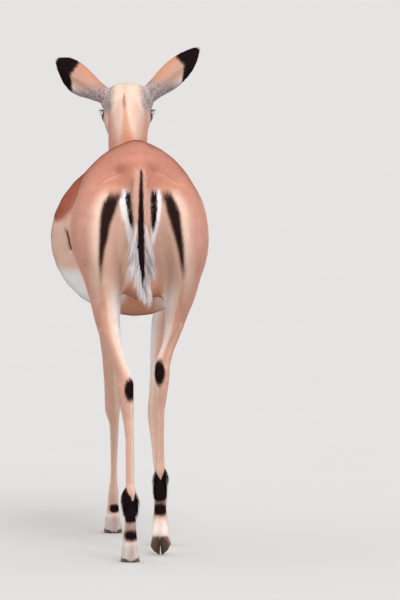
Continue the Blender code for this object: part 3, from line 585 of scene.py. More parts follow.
def limbMarks(m):  # pale inner sides and fawn outer sides
    outward = m.facing[:, 0] * np.where(m.x > 0.02, 1, -1)
    z, thigh, shank = m.z, m.kind["thigh"], m.kinds("cannon", "pastern")
    limbs = m.kinds("forearm", "gaskin", "cannon", "pastern")
    m.lay("tan", (limbs + thigh * 0.3).clip(0, 1) * (0.25 + 0.35 * ease(m.back, -0.2, 0.6)))
    inner = thigh * fade(z, 0.60, 0.68) + m.kind["gaskin"] + m.kind["forearm"]
    inner = (inner + m.kind["cannon"] * 0.8 + m.kind["pastern"] * 0.6).clip(0, 1)
    m.lay("cream", inner * ease(-outward, 0.10, 0.65) * 0.95)
    rear = m.kinds("gaskin", "thigh").clip(0, 1) * ease(z, 0.36, 0.42) * fade(z, 0.545, 0.600)
    m.lay("cream", rear * ease(-outward, -0.45, 0.15) * ease(m.back, -0.6, 0.0) * 0.78)
    m.lay("white", inner * ease(-outward, 0.45, 0.95) * 0.75 * ease(z, 0.30, 0.40))
    m.lay("cream", shank * ease(outward, 0.55, 0.95) * 0.5)
    m.lay("brown", shank * 0.10)


def rumpMarks(m):  # stripes, creases darkened with hair tint and painted shade, the patches beside the tail and painted shadow in the fold of the flank
    across, height, offTail = m.x - dock.x, m.z - dock.z, ~m.node("tail")
    onRump = m.kinds("trunk", "thigh", "gaskin").clip(0, 1)
    rear = ease(m.back, 0.0, 0.25) * fade(m.y, dock.y + 0.16, dock.y + 0.26)
    low, lowEnd = fade(height, -0.062, -0.030), fade(-height, 0.180, 0.216)
    for side, sign, dent, dentShade in (("left", -1, 2, 0.42), ("right", 1, 0, 0.25)):
        stripe, crease = rumpStripes[side], formLines["crease" + side.capitalize()]
        past = (across - lookUp(stripe, height, 2)) * sign
        here = onRump * rear * (across * sign > 0)
        m.lay("tan", here * low * 0.9 * fade(past, -0.006, 0.004) * ease(height, -0.275, -0.215))
        band = ease(past, -0.004, 0.003) * fade(past, 0.006, 0.030) * ease(height, -0.30, -0.20)
        m.lay("cream", here * low * 0.85 * band)
        # along the croup creases: darker hair tint and painted shade; in the dents at their ends: a spot of
        # painted shadow, stronger on the left
        m.lay("brown", onRump * fade(pathDistance(m.places, crease), 0.001, 0.012) * 0.30)
        m.lay("brown", onRump * blob(m.places, crease[dent], (0.014, 0.020, 0.010), 0.7) * dentShade)
        warm = blob(m.places, (dock.x + sign * 0.050, -0.520, 0.775), (0.040, 0.060, 0.014), 0.6)
        m.lay("orange", here * warm * 0.38)
        m.lay("white", here * between(tailPatches[side + "White"], across, height, 0.0016) * offTail)
        # black beside the tail: dark skin plus painted shadow under the tail
        m.lay("black", here * between(tailPatches[side + "Black"], across, height, 0.0010) * offTail)
        m.lay("brown", here * between(stripe, across, height, 0.0044, 0.008, 0.0014) * (0.45 + 0.35 * lowEnd))
        m.lay("black", here * between(stripe, across, height, 0.0032, 0.010, -0.0014) * 0.96 * lowEnd)
    aboveTail = blob(m.places, (dock.x, -0.545, 0.796), (0.040, 0.060, 0.026), 0.5)
    m.lay("russet", onRump * aboveTail * 0.35 * offTail)
    # painted shadow in the fold of the flank: a brown edge round a black core
    fold = pathDistance(m.places, formLines["foldLeft"])
    m.lay("brown", m.kind["trunk"] * fade(fold, 0.004, 0.011) * 0.5)
    m.lay("black", m.kind["trunk"] * fade(fold, 0.0032, 0.0065) * 0.95)


def tailMarks(m):
    isTail, off, half = m.node("tail"), abs(m.x - lookUp(tailLine, m.z)), lookUp(tailLine, m.z, 2)
    m.lay("tan", isTail * 0.45)
    m.lay("white", isTail * fade(m.z, 0.63, 0.68) * ease(off, half, half + 0.004))
    m.lay("white", isTail * ease(-m.back, 0.0, 0.4) * 0.9)
    onLine = (isTail + m.kind["trunk"] * (m.z > 0.77)).clip(0, 1) * ease(m.back, -0.2, 0.2) * (m.z < 0.806)
    m.lay("brown", onLine * ease(half + 0.0012 - off, -0.0016, 0.0016) * 0.7)
    m.lay("black", onLine * ease(half - off, -0.0012, 0.0012))


def footMarks(m):  # hocks, leg tufts, fetlocks and white feet, the feet tinted cream as painted bounce light
    x, z = m.x, m.z
    behind, atBack = ease(m.back, 0.0, 0.3), ease(m.back, -0.1, 0.3)
    for side, ((u, v), (wide, high)) in hockSpots.items():
        spot = np.sqrt(((x - u) / wide) ** 2 + ((z - v) / high) ** 2)
        m.lay("brown", m.node("hind", side) * fade(spot, 0.95, 1.22) * behind * 0.7)
        m.lay("black", m.node("hind", side) * fade(spot, 0.80, 1.06) * behind)
    for leg, (middle, half, low, high, top) in footSpots.items():
        mine, off = m.node(*leg.split("_")) * m.kinds("pastern", "cannon").clip(0, 1), abs(x - middle)
        white = mine * fade(z, top - 0.014, top + 0.006)
        # the cream over the white feet is painted warm light bounced up from the ground
        m.lay("cream", white * 0.9)
        m.lay("white", white * 0.62)
        m.lay("tan", white * fade(off, 0.002, 0.008) * 0.55 * ease(m.back, 0.2, 0.7))
        spot = ((off / half) ** 2.6 + abs((z - (low + high) / 2) / ((high - low) / 2)) ** 2.6) ** (1 / 2.6)
        above = ease(z, high - 0.004, high) * fade(z, high + 0.010, high + 0.018)
        m.lay("grey", mine * fade(off, half - 0.006, half) * above * behind * (0.6 if "hind" in leg else 0.2))
        m.lay("brown", mine * fade(spot, 0.98, 1.30) * atBack * 0.75)
        m.lay("black", mine * fade(spot, 0.84, 1.06) * atBack)
    for side, tuft in legTufts.items():
        a, (notch, top), (inward, outward) = x - tuft["middle"], tuft["notch"], tuft["slopes"]
        top = top + np.where(a < notch, (notch - a) * inward, (a - notch) * outward)
        inTuft = ease(z, tuft["low"] - 0.003, tuft["low"] + 0.001) * fade(z, top - 0.003, top + 0.001)
        inTuft *= z < tuft["rows"][-1, 0] + 0.002
        inTuft *= 1 - ease(abs(a) - lookUp(tuft["rows"], z), -0.001, 0.001) * (z < tuft["wide"])
        rear = fade(m.y - spineOf("hind_" + side + "_pastern", z)[:, 1], -0.002, 0.006)
        m.lay("black", m.node("hind", side) * inTuft * rear)


napeLine = np.array([  # height, width and strength of the line along the nape
    (0.83, 0.017, 0.85), (0.87, 0.010, 0.80), (0.90, 0.0045, 0.75), (0.93, 0.0035, 0.70)])


def neckMarks(m):
    neck, z = m.kind["neck"], m.z
    nape = ease(m.facing[:, 2] + m.back, 0.2, 0.9) * neck
    m.lay("cream", nape * ease(z, 0.80, 0.875) * 0.92)
    off = abs(m.x - np.interp(z, [0.83, 0.92], [-0.0036, -0.0115]))
    line = fade(off / lookUp(napeLine, z), 0.25, 1.25)
    m.lay("orange", nape * line * lookUp(napeLine, z, 2) * ease(z, 0.79, 0.83))
    m.lay("russet", nape * line * fade(z, 0.835, 0.875) * 0.35)
    m.lay("brown", nape * line * ease(z, 0.900, 0.915) * 0.42)
    m.lay("cream", neck * ease(-m.facing[:, 2], 0.2, 0.9) * 0.8)


faceColour = {"crownTo": 0.060, "blazeFrom": 0.050, "throatUp": -0.080, "lipFrom": 0.205, "lipUp": -0.052,
              "brow": [(0.051, 0.068, -0.016), (0.049, 0.088, -0.008), (0.039, 0.110, -0.011),
                       (0.030, 0.130, -0.018)]}


def faceMarks(m):
    look, shape, face = faceColour, muzzleShape, m.kind["head"] * ~m.node("ear_")
    across, along, up = onFace(m.places).T
    a, spot, rising = abs(across), mirrored(m.places), m.facing @ faceUp
    m.lay("tan", face * 0.35)
    m.lay("cream", face * fade(along, look["crownTo"] - 0.035, look["crownTo"]) * 0.94)
    m.lay("orange", face * fade(abs(across + 0.005), 0.001, 0.009) * fade(along, 0.00, 0.04) * 0.30)
    top = face * ease(rising, 0.2, 0.8)
    blaze = fade(a, 0.008, 0.034) * ease(along, look["blazeFrom"], look["blazeFrom"] + 0.035)
    m.lay("russet", top * blaze * 0.85)
    m.lay("brown", top * fade(a, 0.004, 0.018) * ease(along, 0.085, 0.13) * fade(along, 0.21, 0.25) * 0.35)
    m.lay("cream", face * fade(pathDistance(spot, look["brow"]), 0.002, 0.009) * 0.75)
    throat = fade(up + 0.10 * (along - 0.10).clip(0, 0.12), look["throatUp"] - 0.008, look["throatUp"] + 0.012)
    m.lay("white", face * throat * ease(-rising, -0.25, 0.35))
    lips = face * ease(along, look["lipFrom"], look["lipFrom"] + 0.035)
    m.lay("cream", lips * fade(up, look["lipUp"] - 0.004, look["lipUp"] + 0.016) * 0.6)
    m.lay("white", lips * fade(up, look["lipUp"] - 0.010, look["lipUp"] + 0.006) * 0.85)
    wide = lookUp(shape["padRows"], up)
    start = shape["padFrom"] + shape["padRound"] * (a / shape["padWide"]) ** 2
    inPad = ease(along, start - 0.0015, start + 0.0015) * fade(a, wide, wide + 0.0025)
    inPad = inPad * ease(up, shape["padLow"] - 0.0015, shape["padLow"] + 0.0015)
    nostril = blob(spot, shape["nostril"], np.array(shape["nostrilSize"]) * 1.35)
    inPad = np.maximum(inPad, nostril)
    mouthWay = pathDistance(spot, shape["mouth"])
    lip = fade(mouthWay, 0.0012, 0.0030) * ease(along, 0.19, 0.22)
    m.lay("brown", face * fade(mouthWay, 0.002, 0.007) * ease(along, 0.20, 0.24) * 0.35)
    m.lay("black", face * np.maximum(inPad, lip * 0.9))
    m.lay("grey", face * inPad * (1 - nostril) * 0.22)
    m.bare(face * np.maximum(inPad, lip))


def eyeMarks(m, side):
    centre, look, ahead, above = eyeFrame(side)
    head, away = m.kind["head"], m.places - centre
    ring = lidRing(away, ahead, above, 0.0012)
    near = head * (length(away) < 0.034) * (away @ look > -0.002)
    m.lay("cream", near * fade(ring, 1.15, 1.95) * 0.60)
    m.lay("brown", near * fade(ring, 1.05, 1.30) * 0.6)
    m.lay("black", near * fade(ring, 1.00, 1.12))
    tear = [centre + ahead * along - above * down + look * out
            for along, down, out in ((0.015, 0.003, 0.007), (0.032, 0.012, 0.001))]
    m.lay("brown", head * fade(pathDistance(m.places, tear), 0.0012, 0.0045) * 0.8)
    m.bare(near * fade(ring, 0.98, 1.06))


earColour = {"blackFrom": {"left": 0.725, "right": 0.715}, "rimSlopes": (2.5, 8.0), "rimFrom": 0.008,
             "furrows": 0.0075, "greyTo": (0.24, 0.48)}


def earSpot(places, name):  # share of the way to the tip, and across the blade toward its upper edge
    axis = earAxis(name)
    points = pointsOf(nodes[name].data)
    along = points @ axis
    side = unit(np.cross(axis, (0, 1, 0))) * (1 if "right" in name else -1)
    return (places @ axis - along.min()) / (along.max() - along.min()), (places - points.mean(0)) @ side


def earMarks(m, side):
    mine = m.node("ear_" + side)
    share, cross = earSpot(m.places, "ear_" + side)
    front = ease(-m.back, 0.05, 0.35)
    inside, back, off = mine * front, mine * (1 - front), abs(cross)
    m.lay("cream", inside * 0.9)
    m.lay("tan", back * 0.6)
    m.lay("brown", back * 0.20)
    m.lay("cream", back * fade(cross, -0.012, 0.004) * 0.35)
    m.lay("orange", back * ease(cross, 0.004, 0.018) * 0.6)
    vein = fade(abs(cross + 0.006 + 0.02 * (share - 0.4)), 0.002, 0.010)
    m.lay("brown", back * vein * ease(share, 0.30, 0.45) * 0.35)
    m.lay("white", mine * ease(-cross, 0.020, 0.024) * ease(share, 0.25, 0.40) * 0.8)
    m.lay("white", inside * ease(off, 0.012, 0.022) * 0.6)
    furrow = abs(cross / earColour["furrows"] - np.round(cross / earColour["furrows"]))
    inMiddle = ease(share, 0.12, 0.22) * fade(share, 0.55, 0.80) * fade(off, 0.011, 0.015)
    m.lay("brown", inside * inMiddle * fade(furrow, 0.10, 0.34) * 0.45)
    ownSide = (m.x - pollPlace[0]) * (1 if side == "right" else -1) > 0
    own = m.kinds("head", "neck").clip(0, 1) * ownSide * ~mine
    base = blob(mirrored(m.places), (0.050, 0.004, -0.038), (0.025, 0.040, 0.052), 0.35)
    base = own * ease(m.z, 0.872, 0.914) * base
    grey = (mine * fade(share + 6.0 * cross, *earColour["greyTo"]) + base).clip(0, 1)
    m.lay("grey", grey * 0.88)
    m.lay("black", grey * (flecks(m.places) > 0.80) * 0.45)
    m.lay("white", grey * (flecks(m.places) < 0.22) * 0.45)
    slope = np.where(cross > 0, *earColour["rimSlopes"])
    tip = share - earColour["blackFrom"][side] + slope * np.maximum(off - earColour["rimFrom"], 0)
    m.lay("black", back * ease(tip, -0.012, 0.012))
    m.lay("black", inside * ease(share, 0.88, 0.96) * 0.8)


def markings(places, facing, homes, share):
    m = Marks(places, facing, homes, share)
    for step in (sideMarks, limbMarks, rumpMarks, tailMarks, footMarks, neckMarks, faceMarks):
        step(m)
    for side in bothSides:
        eyeMarks(m, side)
        earMarks(m, side)
    return m.share


# materials
class Wire:  # one output of a node, so that sums are written as Python
    def __init__(self, board, socket):
        self.board, self.socket = board, socket

    def __add__(self, other):
        return self.board.maths("ADD", self, other)

    def __sub__(self, other):
        return self.board.maths("SUBTRACT", self, other)

    def __rsub__(self, other):
        return self.board.maths("SUBTRACT", other, self)

    def __mul__(self, other):
        return self.board.maths("MULTIPLY", self, other)

    __radd__, __rmul__ = __add__, __mul__


class Board:  # the nodes of one material
    def __init__(self, title):
        self.material = bpy.data.materials.new(title)
        self.material.use_nodes = True
        self.tree = self.material.node_tree
        self.tree.nodes.clear()

    def add(self, kind, settings=None, sockets=None, out=0):
        node = self.tree.nodes.new(kind)
        for key, value in (settings or {}).items():
            setattr(node, key, value)
        for key, value in (sockets or {}).items():
            if isinstance(value, Wire):
                self.tree.links.new(value.socket, node.inputs[key])
            else:
                node.inputs[key].default_value = value
        return Wire(self, node.outputs[out]) if len(node.outputs) else None

    def maths(self, how, first, second=0.0):
        return self.add("ShaderNodeMath", {"operation": how}, {0: first, 1: second})

    def place(self):
        return self.add("ShaderNodeTexCoord", out=3)

    def noise(self, scale, detail=3.0, stretch=(1, 1, 1)):
        spot = self.add("ShaderNodeMapping", {}, {0: self.place(), 3: stretch})
        return self.add("ShaderNodeTexNoise", {}, {"Vector": spot, "Scale": scale, "Detail": detail})

    def marks(self, name):  # the three numbers of an attribute
        spread = self.add("ShaderNodeAttribute", {"attribute_name": name}, out=1)
        split = self.add("ShaderNodeSeparateXYZ", {}, {0: spread})
        return [Wire(self, socket) for socket in split.socket.node.outputs]

    def blend(self, amount, first, second):
        return self.add("ShaderNodeMix", {"data_type": "RGBA"}, {0: amount, 6: first, 7: second}, out=2)

    def dim(self, colour, amount):
        return self.add("ShaderNodeVectorMath", {"operation": "SCALE"}, {0: colour, 3: amount})

    def plus(self, first, second):
        return self.add("ShaderNodeVectorMath", {"operation": "ADD"}, {0: first, 1: second})

    def soft(self, value, start, end):  # 0 before start, 1 after end
        smooth = {"interpolation_type": "SMOOTHSTEP"}
        return self.add("ShaderNodeMapRange", smooth, {0: value, 1: start, 2: end})

    def bump(self, height, distance):
        return self.add("ShaderNodeBump", {}, {"Height": height, "Distance": distance, "Strength": 1.0})

    def finish(self, **sockets):
        named = {key.replace("_", " "): value for key, value in sockets.items()}
        self.add("ShaderNodeOutputMaterial", {}, {0: self.add("ShaderNodeBsdfPrincipled", {}, named)})
        return self.material


def paint(colour):  # everyday 0 to 255 colour as the renderer wants it
    return tuple(c / 255 / 12.92 if c < 11 else ((c / 255 + 0.055) / 1.055) ** 2.4 for c in colour) + (1.0,)


coatColours = {
    "fawn": (222, 168, 149), "russet": (186, 106, 82), "tan": (226, 188, 169), "cream": (241, 215, 198),
    "orange": (216, 153, 116), "grey": (152, 142, 146), "white": (250, 247, 248), "black": (32, 22, 24),
    "brown": (116, 72, 54),
}
markTriples = {"marksWarm": markNames[:3], "marksPale": markNames[3:6], "marksDark": markNames[6:]}


def coatMaterial(title, hair):
    board = Board(title)
    shares = {}
    for triple, names in markTriples.items():
        shares.update(zip(names, board.marks(triple)))
    bare = shares.pop("bare")
    broad, fine = board.noise(9.0), board.noise(230.0, 2.0, (1, 0.3, 0.4))
    rest = 1
    for amount in shares.values():
        rest = rest - amount
    colour = board.dim(paint(coatColours["fawn"])[:3], rest)
    for name, amount in shares.items():
        colour = board.plus(colour, board.dim(paint(coatColours[name])[:3], amount))
    colour = board.dim(colour, 0.94 + broad * 0.12)
    if hair:
        shade, along, _ = board.marks("strand")
        colour = board.dim(colour, (0.93 + shade * 0.12) * (0.96 + along * 0.06))
        return board.finish(Base_Color=colour, Roughness=0.80 - fine * 0.1, Specular_IOR_Level=0.0)
    colour = board.dim(colour, 0.90 + fine * 0.14)
    spots = {"Vector": board.place(), "Scale": 620.0}
    pores = board.add("ShaderNodeTexVoronoi", {"feature": "SMOOTH_F1"}, spots)
    return board.finish(Base_Color=colour, Roughness=0.80, Specular_IOR_Level=0.0, Coat_Weight=bare * 0.5,
                        Coat_Roughness=0.35, Normal=board.bump(fine * 0.5 + pores * bare, 0.0006))


def dress(mesh, marks):
    for triple, names in markTriples.items():
        store(mesh, triple, np.stack([marks[name] for name in names], 1))


skinShare = evenOut((kindOfNode[skinHomes][:, None] == np.arange(len(partKinds))) * 1.0, skinEdges, 26)
skinMarks = markings(skinPoints, skinNormals, skinHomes, skinShare)
dress(skin.data, skinMarks)
skin.data.materials.append(coatMaterial("skinUnderCoat", False))
hairMaterial = coatMaterial("coatHair", True)
say("skin coloured")


# the coat
coatPieces = {  # which lengths, and from where to where along the body
    "coatRump": (("trunk",), -9, -0.33), "coatLoin": (("trunk",), -0.33, -0.17),
    "coatBarrel": (("trunk",), -0.17, 0.0), "coatShoulders": (("trunk",), 0.0, 9),
    "coatThighs": (("thigh",), -9, 9), "coatNeck": (("neck",), -9, 9),
    "coatHead": (("head",), -9, 9), "coatEars": (("ear",), -9, 9), "coatTail": (("tail",), -9, 9),
    "coatUpperLegs": (("gaskin", "forearm"), -9, 9), "coatLowerLegs": (("cannon", "pastern"), -9, 9),
}
longHair = {  # skin under each lock, length, half width, lift
    "tailFringe": (1.1e-6, 0.044, 0.00036, 0.003), "legTufts": (1.5e-6, 0.024, 0.00050, 0.0050),
    "earHair": (9.0e-6, 0.0110, 0.00022, 0.0020), "heelHair": (2.0e-6, 0.0145, 0.00038, 0.0008),
    "lashes": (9.0e-7, 0.0125, 0.00014, 0.0010), "clumps": 70,
}
random = np.random.default_rng(7)
patchSize = 0.003
corners = cornersOf(skin.data)
faceHomes = skinHomes[corners[:, 0]]
faceMiddle = skinPoints[corners].mean(1)
faceNormal = unit(skinNormals[corners].mean(1))
skin.data.uv_layers.new(name="coatMap")


def mixed(values, chosen, weights):
    return (values[corners[chosen]] * weights[:, :, None]).sum(1)


def rootsOn(faces, space, mostBare=9.0):  # roots spread over some faces, space is the skin under each
    wanted = np.zeros(len(corners), bool)
    wanted[faces] = True
    edit(skin, lambda: bpy.ops.uv.smart_project(angle_limit=1.15, island_margin=0.004), wanted)
    uvs = read(skin.data.uv_layers.active.data, "uv", 2, np.float32).reshape(-1, 3, 2)
    a, b, c = (skinPoints[corners[faces, k]] for k in range(3))
    area = length(np.cross(b - a, c - a)) / 2
    chosen = np.repeat(faces, np.floor(area / space + random.random(len(faces))).astype(int))
    u, v = random.random(len(chosen)), random.random(len(chosen))
    past = u + v > 1
    u[past], v[past] = 1 - u[past], 1 - v[past]
    weights = np.stack([1 - u - v, u, v], 1)
    kept = (skinMarks["bare"][corners[chosen]] * weights).sum(1) < mostBare
    chosen, weights = chosen[kept], weights[kept]
    uv = (uvs[chosen] * weights[:, :, None]).sum(1)
    return chosen, weights, mixed(skinPoints, chosen, weights), unit(mixed(skinNormals, chosen, weights)), uv


# thin closed blades that end in a point
def growTufts(title, root, normal, lie, size, marks, uv, rings=1, curve=0.0):
    count, last = len(root), 3 * (rings - 1)
    long, half, lift = (column[:, None] for column in size)
    side = unit(np.cross(normal, lie))
    shades = random.random(count)
    points, alongs, across, shine = [], [], [], []
    for step in [k / (rings if rings == 1 else rings + 0.2) for k in range(rings)] + [1.0]:
        middle = root - normal * half * 0.4 + lie * long * step + normal * lift * step * (1.7 - 0.7 * step)
        middle = middle + curve * step ** 1.7
        wide = half * (1 - 0.25 * step)
        for a, b in ((-1, 0), (1, 0), (0, 0.38)) if step < 1 else ((0, 0),):
            points.append(middle + side * wide * a + normal * wide * b)
            alongs.append(step)
            across.append(a)
            shine.append(unit(normal + side * a * 0.35))
    faces = [face for a in range(0, last, 3)
             for face in ((a, a + 3, a + 5, a + 2), (a + 2, a + 5, a + 4, a + 1), (a + 1, a + 4, a + 3, a))]
    faces += [(0, 2, 1), (last, last + 3, last + 2), (last + 2, last + 3, last + 1), (last + 1, last + 3, last)]
    ways = ["top", "top", "under"] * (rings - 1) + ["root", "top", "top", "under"]
    others = {"under": -normal, "root": -lie}
    cornerNormals = [others.get(way, shine[i]) for face, way in zip(faces, ways) for i in face]
    each, rows = len(points), [i for face in faces for i in face]
    starts = np.cumsum([0] + [len(face) for face in faces[:-1]])
    first = np.arange(count)[:, None]
    loops = (first * each + rows).ravel()
    loopStarts = (first * len(rows) + starts).ravel()
    mesh = bpy.data.meshes.new(title)
    mesh.vertices.add(count * each)
    mesh.vertices.foreach_set("co", np.stack(points, 1).astype(np.float32).ravel())
    mesh.loops.add(len(loops))
    mesh.loops.foreach_set("vertex_index", loops.astype(np.int32))
    mesh.polygons.add(len(loopStarts))
    mesh.polygons.foreach_set("loop_start", loopStarts.astype(np.int32))
    mesh.polygons.foreach_set("use_smooth", np.ones(len(loopStarts), bool))
    mesh.update(calc_edges=True)
    # the coat shades as one soft surface
    mesh.normals_split_custom_set(np.stack(cornerNormals, 1).reshape(-1, 3))
    patch = np.stack([np.array(across) * 0.5, np.array(alongs) - 0.5], 1) * patchSize
    spots = (uv[:, None, :] + patch).reshape(-1, 2)
    mesh.uv_layers.new(name="OFBake").data.foreach_set("uv", spots[loops].astype(np.float32).ravel())
    dress(mesh, {name: np.repeat(values, each) for name, values in marks.items()})
    shades = np.repeat(shades, each)
    store(mesh, "strand", np.stack([shades, np.tile(alongs, count), shades * 0], 1))
    mesh.materials.append(hairMaterial)
    piece = bpy.data.objects.new(title, mesh)
    bpy.context.scene.collection.objects.link(piece)
    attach(piece, "root")
    say(f"{title}: {count} tufts")


def shortHair(places):  # the coat is shorter toward the muzzle and the hooves
    return 1 - 0.40 * ease(onFace(places)[:, 1], 0.12, 0.22) - 0.25 * fade(places[:, 2], 0.02, 0.08)


for title, (kinds, start, end) in coatPieces.items():
    mine = np.isin(kindOfNode[faceHomes], [partKinds.index(kind) for kind in kinds])
    faces = np.flatnonzero(mine & (faceMiddle[:, 1] > start) & (faceMiddle[:, 1] <= end))
    chosen, weights, root, normal, uv = rootsOn(faces, byKind(3, faceHomes[faces])[:, 3] / 1e6, 0.4)
    count = len(root)
    way = mixed(lie, chosen, weights)
    way = unit(way - normal * (way * normal).sum(1)[:, None])
    way = unit(way + np.cross(normal, way) * random.normal(0, 0.12, count)[:, None])
    long, half, lift = (byKind(3, faceHomes[chosen])[:, :3] / 1000 * shortHair(root)[:, None]).T
    size = [long * random.uniform(0.75, 1.25, count), half * random.uniform(0.8, 1.2, count),
            lift * random.uniform(0.6, 1.1, count)]
    shaken = root + way * random.normal(0, 0.0015, count)[:, None]
    marks = markings(shaken, normal, faceHomes[chosen], mixed(skinShare, chosen, weights))
    growTufts(title, root, normal, way, size, marks, uv)


# long hair
def plantLocks(title, wanted, rings, shape):  # on the wanted faces, shape gives way, length, curve and marks
    space, long, half, lift = longHair[title]
    chosen, weights, root, normal, uv = rootsOn(np.flatnonzero(wanted), space)
    marks = markings(root, normal, faceHomes[chosen], mixed(skinShare, chosen, weights))
    way, stretch, curve = shape(root, normal, marks)
    count = len(root)
    size = [long * stretch * random.uniform(0.7, 1.2, count), half * random.uniform(0.7, 1.2, count),
            lift * random.uniform(0.6, 1.1, count)]
    growTufts(title, root, normal, unit(way), size, marks, uv, rings, curve)


def recolour(marks, **shares):  # gives the locks a colour of their own
    for name in marks:
        marks[name] = marks[name] * 0 + shares.get(name, 0)


def fringeShape(root, normal, marks):  # soft wisps, the locks of one clump run together
    count, clumps, z, ones = len(root), longHair["clumps"], root[:, 2], np.ones(len(root))
    seeds = random.choice(count, clumps, replace=False)
    side = np.sign(root[:, 0] - spineOf("tail", z)[:, 0])
    halves = root + side[:, None] * np.array((0.05, 0, 0))
    clump = length((halves[:, None] - halves[seeds][None]) * np.array((1, 0.7, 0.5))).argmin(1)
    below = ease(0.705 - z, 0.0, 0.035)
    spread = (random.uniform(0.12, 1.0, clumps)[clump] + random.normal(0, 0.12, count)).clip(0.04, 1.1)
    spread *= below * (0.50 + 0.50 * ease(z, 0.585, 0.620))
    bend = random.uniform(0.018, 0.032, clumps)[clump] * spread / np.sqrt(1 + spread ** 2)
    back = random.normal(-0.08, 0.10, clumps)[clump] + random.normal(0, 0.04, count)
    way = np.stack([side * spread + 0.22 * fade(z, 0.585, 0.615), back, -ones], 1)
    way += (root[seeds][clump] - root) * np.array((5, 5, 0))
    curve = np.stack([-side * bend + random.normal(0, 0.002, count), 0.004 * ones, -0.006 * ones], 1)
    white = ease(0.70 - z, 0.000, 0.035)
    for name in marks:
        marks[name] = marks[name] * (1 - white)
    tint = random.choice([0.12, 0.30, 0.55], clumps)[clump] + random.uniform(0, 0.12, count)
    marks["grey"] = marks["grey"] + white * tint
    marks["tan"] = marks["tan"] + white * 0.18 * (random.random(count) < 0.3)
    marks["white"] = 1 - sum(marks[name] for name in markNames if name != "white")
    stretch = (0.45 + 0.60 * below) * random.uniform(0.75, 1.20, clumps)[clump]
    stretch = stretch * (0.75 + 0.25 * ease(z, 0.585, 0.62))
    return way, stretch, curve


def legTuftShape(root, normal, marks):
    reach, across = np.zeros(len(root)), np.zeros(len(root))
    way = normal * 0.10 + np.array((0, -0.06, -1.0)) + random.normal(0, 0.05, root.shape)
    for sign, tuft in zip((-1, 1), legTufts.values()):
        mine, low = (root[:, 0] - 0.03) * sign > 0, tuft["low"]
        a = (root[:, 0] - tuft["middle"]) / 0.017
        slope = np.interp(root[:, 2], [low, tuft["wide"], tuft["wide"] + 0.035], [-0.45, 0.30, 0.60])
        across = np.where(mine, a, across)
        way[:, 0] += np.where(mine, a * slope, 0)
        drop = root[:, 2] - (low + 0.020 * np.minimum(a * a, 1))
        reach = np.where(mine, (drop / longHair["legTufts"][1]).clip(0.30, 1.2), reach)
    recolour(marks, black=1.0)
    return way, reach, -normal * 0.0055 - across[:, None] * np.array((0.0050, 0, 0))


def earHairShape(root, normal, marks):
    way = np.where(root[:, :1] < 0, earAxis("ear_left"), earAxis("ear_right")) * 0.9 + normal * 0.12
    recolour(marks, white=0.85, cream=0.15)
    return way + random.normal(0, 0.10, root.shape), 1.0, -normal * 0.001


def heelShape(root, normal, marks):
    x, y, z = root.T
    way = normal * 0.20 + np.array((0, -0.05, -1.0)) + random.normal(0, 0.035, root.shape)
    way[:, 1] += 0.5 * (y > -0.42) * (x > 0.04) * (y < -0.30)  # the raised hind foot is tipped
    return way, ((z - 0.007) / longHair["heelHair"][1]).clip(0.3, 1.0), -normal * 0.0012


def lashShape(root, normal, marks):
    way, curve = np.zeros((len(root), 3)), np.zeros((len(root), 3))
    for side in bothSides:
        centre, look, ahead, above = eyeFrame(side)
        mine = length(root - centre) < 0.03
        fan = (root - centre) @ ahead / eyeShape["halfLong"]
        way[mine] = (look * 0.9 + above * 0.40 + ahead * 0.35 * fan[:, None])[mine]
        curve[mine] = -above * 0.0050
    recolour(marks, black=1.0)
    return way + random.normal(0, 0.05, way.shape), 1.0, curve


z = faceMiddle[:, 2]
keptClear = np.interp(z, [0.58, 0.64, 0.70], [0.002, 0.0065, 0.006])  # half width of the black line
offLine = abs(faceMiddle[:, 0] - spineOf("tail", z)[:, 0]) > keptClear
fringed = isNode(faceHomes, "tail") & (z < 0.695) & (offLine | (faceNormal[:, 1] > 0.2))
plantLocks("tailFringe", fringed, 4, fringeShape)
inTuft, inEar, atHeel, onRim = (np.zeros(len(corners), bool) for _ in range(4))
for side, tuft in legTufts.items():
    inTuft |= isNode(faceHomes, "hind", side) & (z > tuft["low"] + 0.006) & (z < tuft["rows"][-1, 0] + 0.002)
plantLocks("legTufts", inTuft & (skinMarks["black"][corners].mean(1) > 0.5), 3, legTuftShape)
for side in bothSides:
    share, cross = earSpot(faceMiddle, "ear_" + side)
    inEar |= isNode(faceHomes, "ear_" + side) & (share > 0.10) & (share < 0.60) & (abs(cross) < 0.017)
    centre, look, ahead, above = eyeFrame(side)
    away = faceMiddle - centre
    nearRing = (abs(lidRing(away, ahead, above) - 1.06) < 0.10) & (length(away) < 0.022)
    onRim |= nearRing & (away @ above > 0.0025) & (away @ look > 0)
for leg in footSpots:
    atHeel |= isNode(faceHomes, leg + "_pastern") & (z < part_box(leg + "_claw_outer")[1].z + 0.002)
plantLocks("earHair", inEar & (faceNormal[:, 1] > 0.25), 2, earHairShape)
plantLocks("heelHair", atHeel & (faceNormal[:, 1] < 0.3), 2, heelShape)
plantLocks("lashes", onRim, 3, lashShape)
skin.data.uv_layers.remove(skin.data.uv_layers["coatMap"])


# eyes
eyeLook = {
    "pupil": (0.0074, 0.0044), "iris": 0.0125, "cornea": 0.0009, "corneaWide": 42,
    "irisDark": (24, 12, 8), "irisLight": (50, 27, 15), "edge": (9, 6, 6), "hole": (2, 2, 3),
}


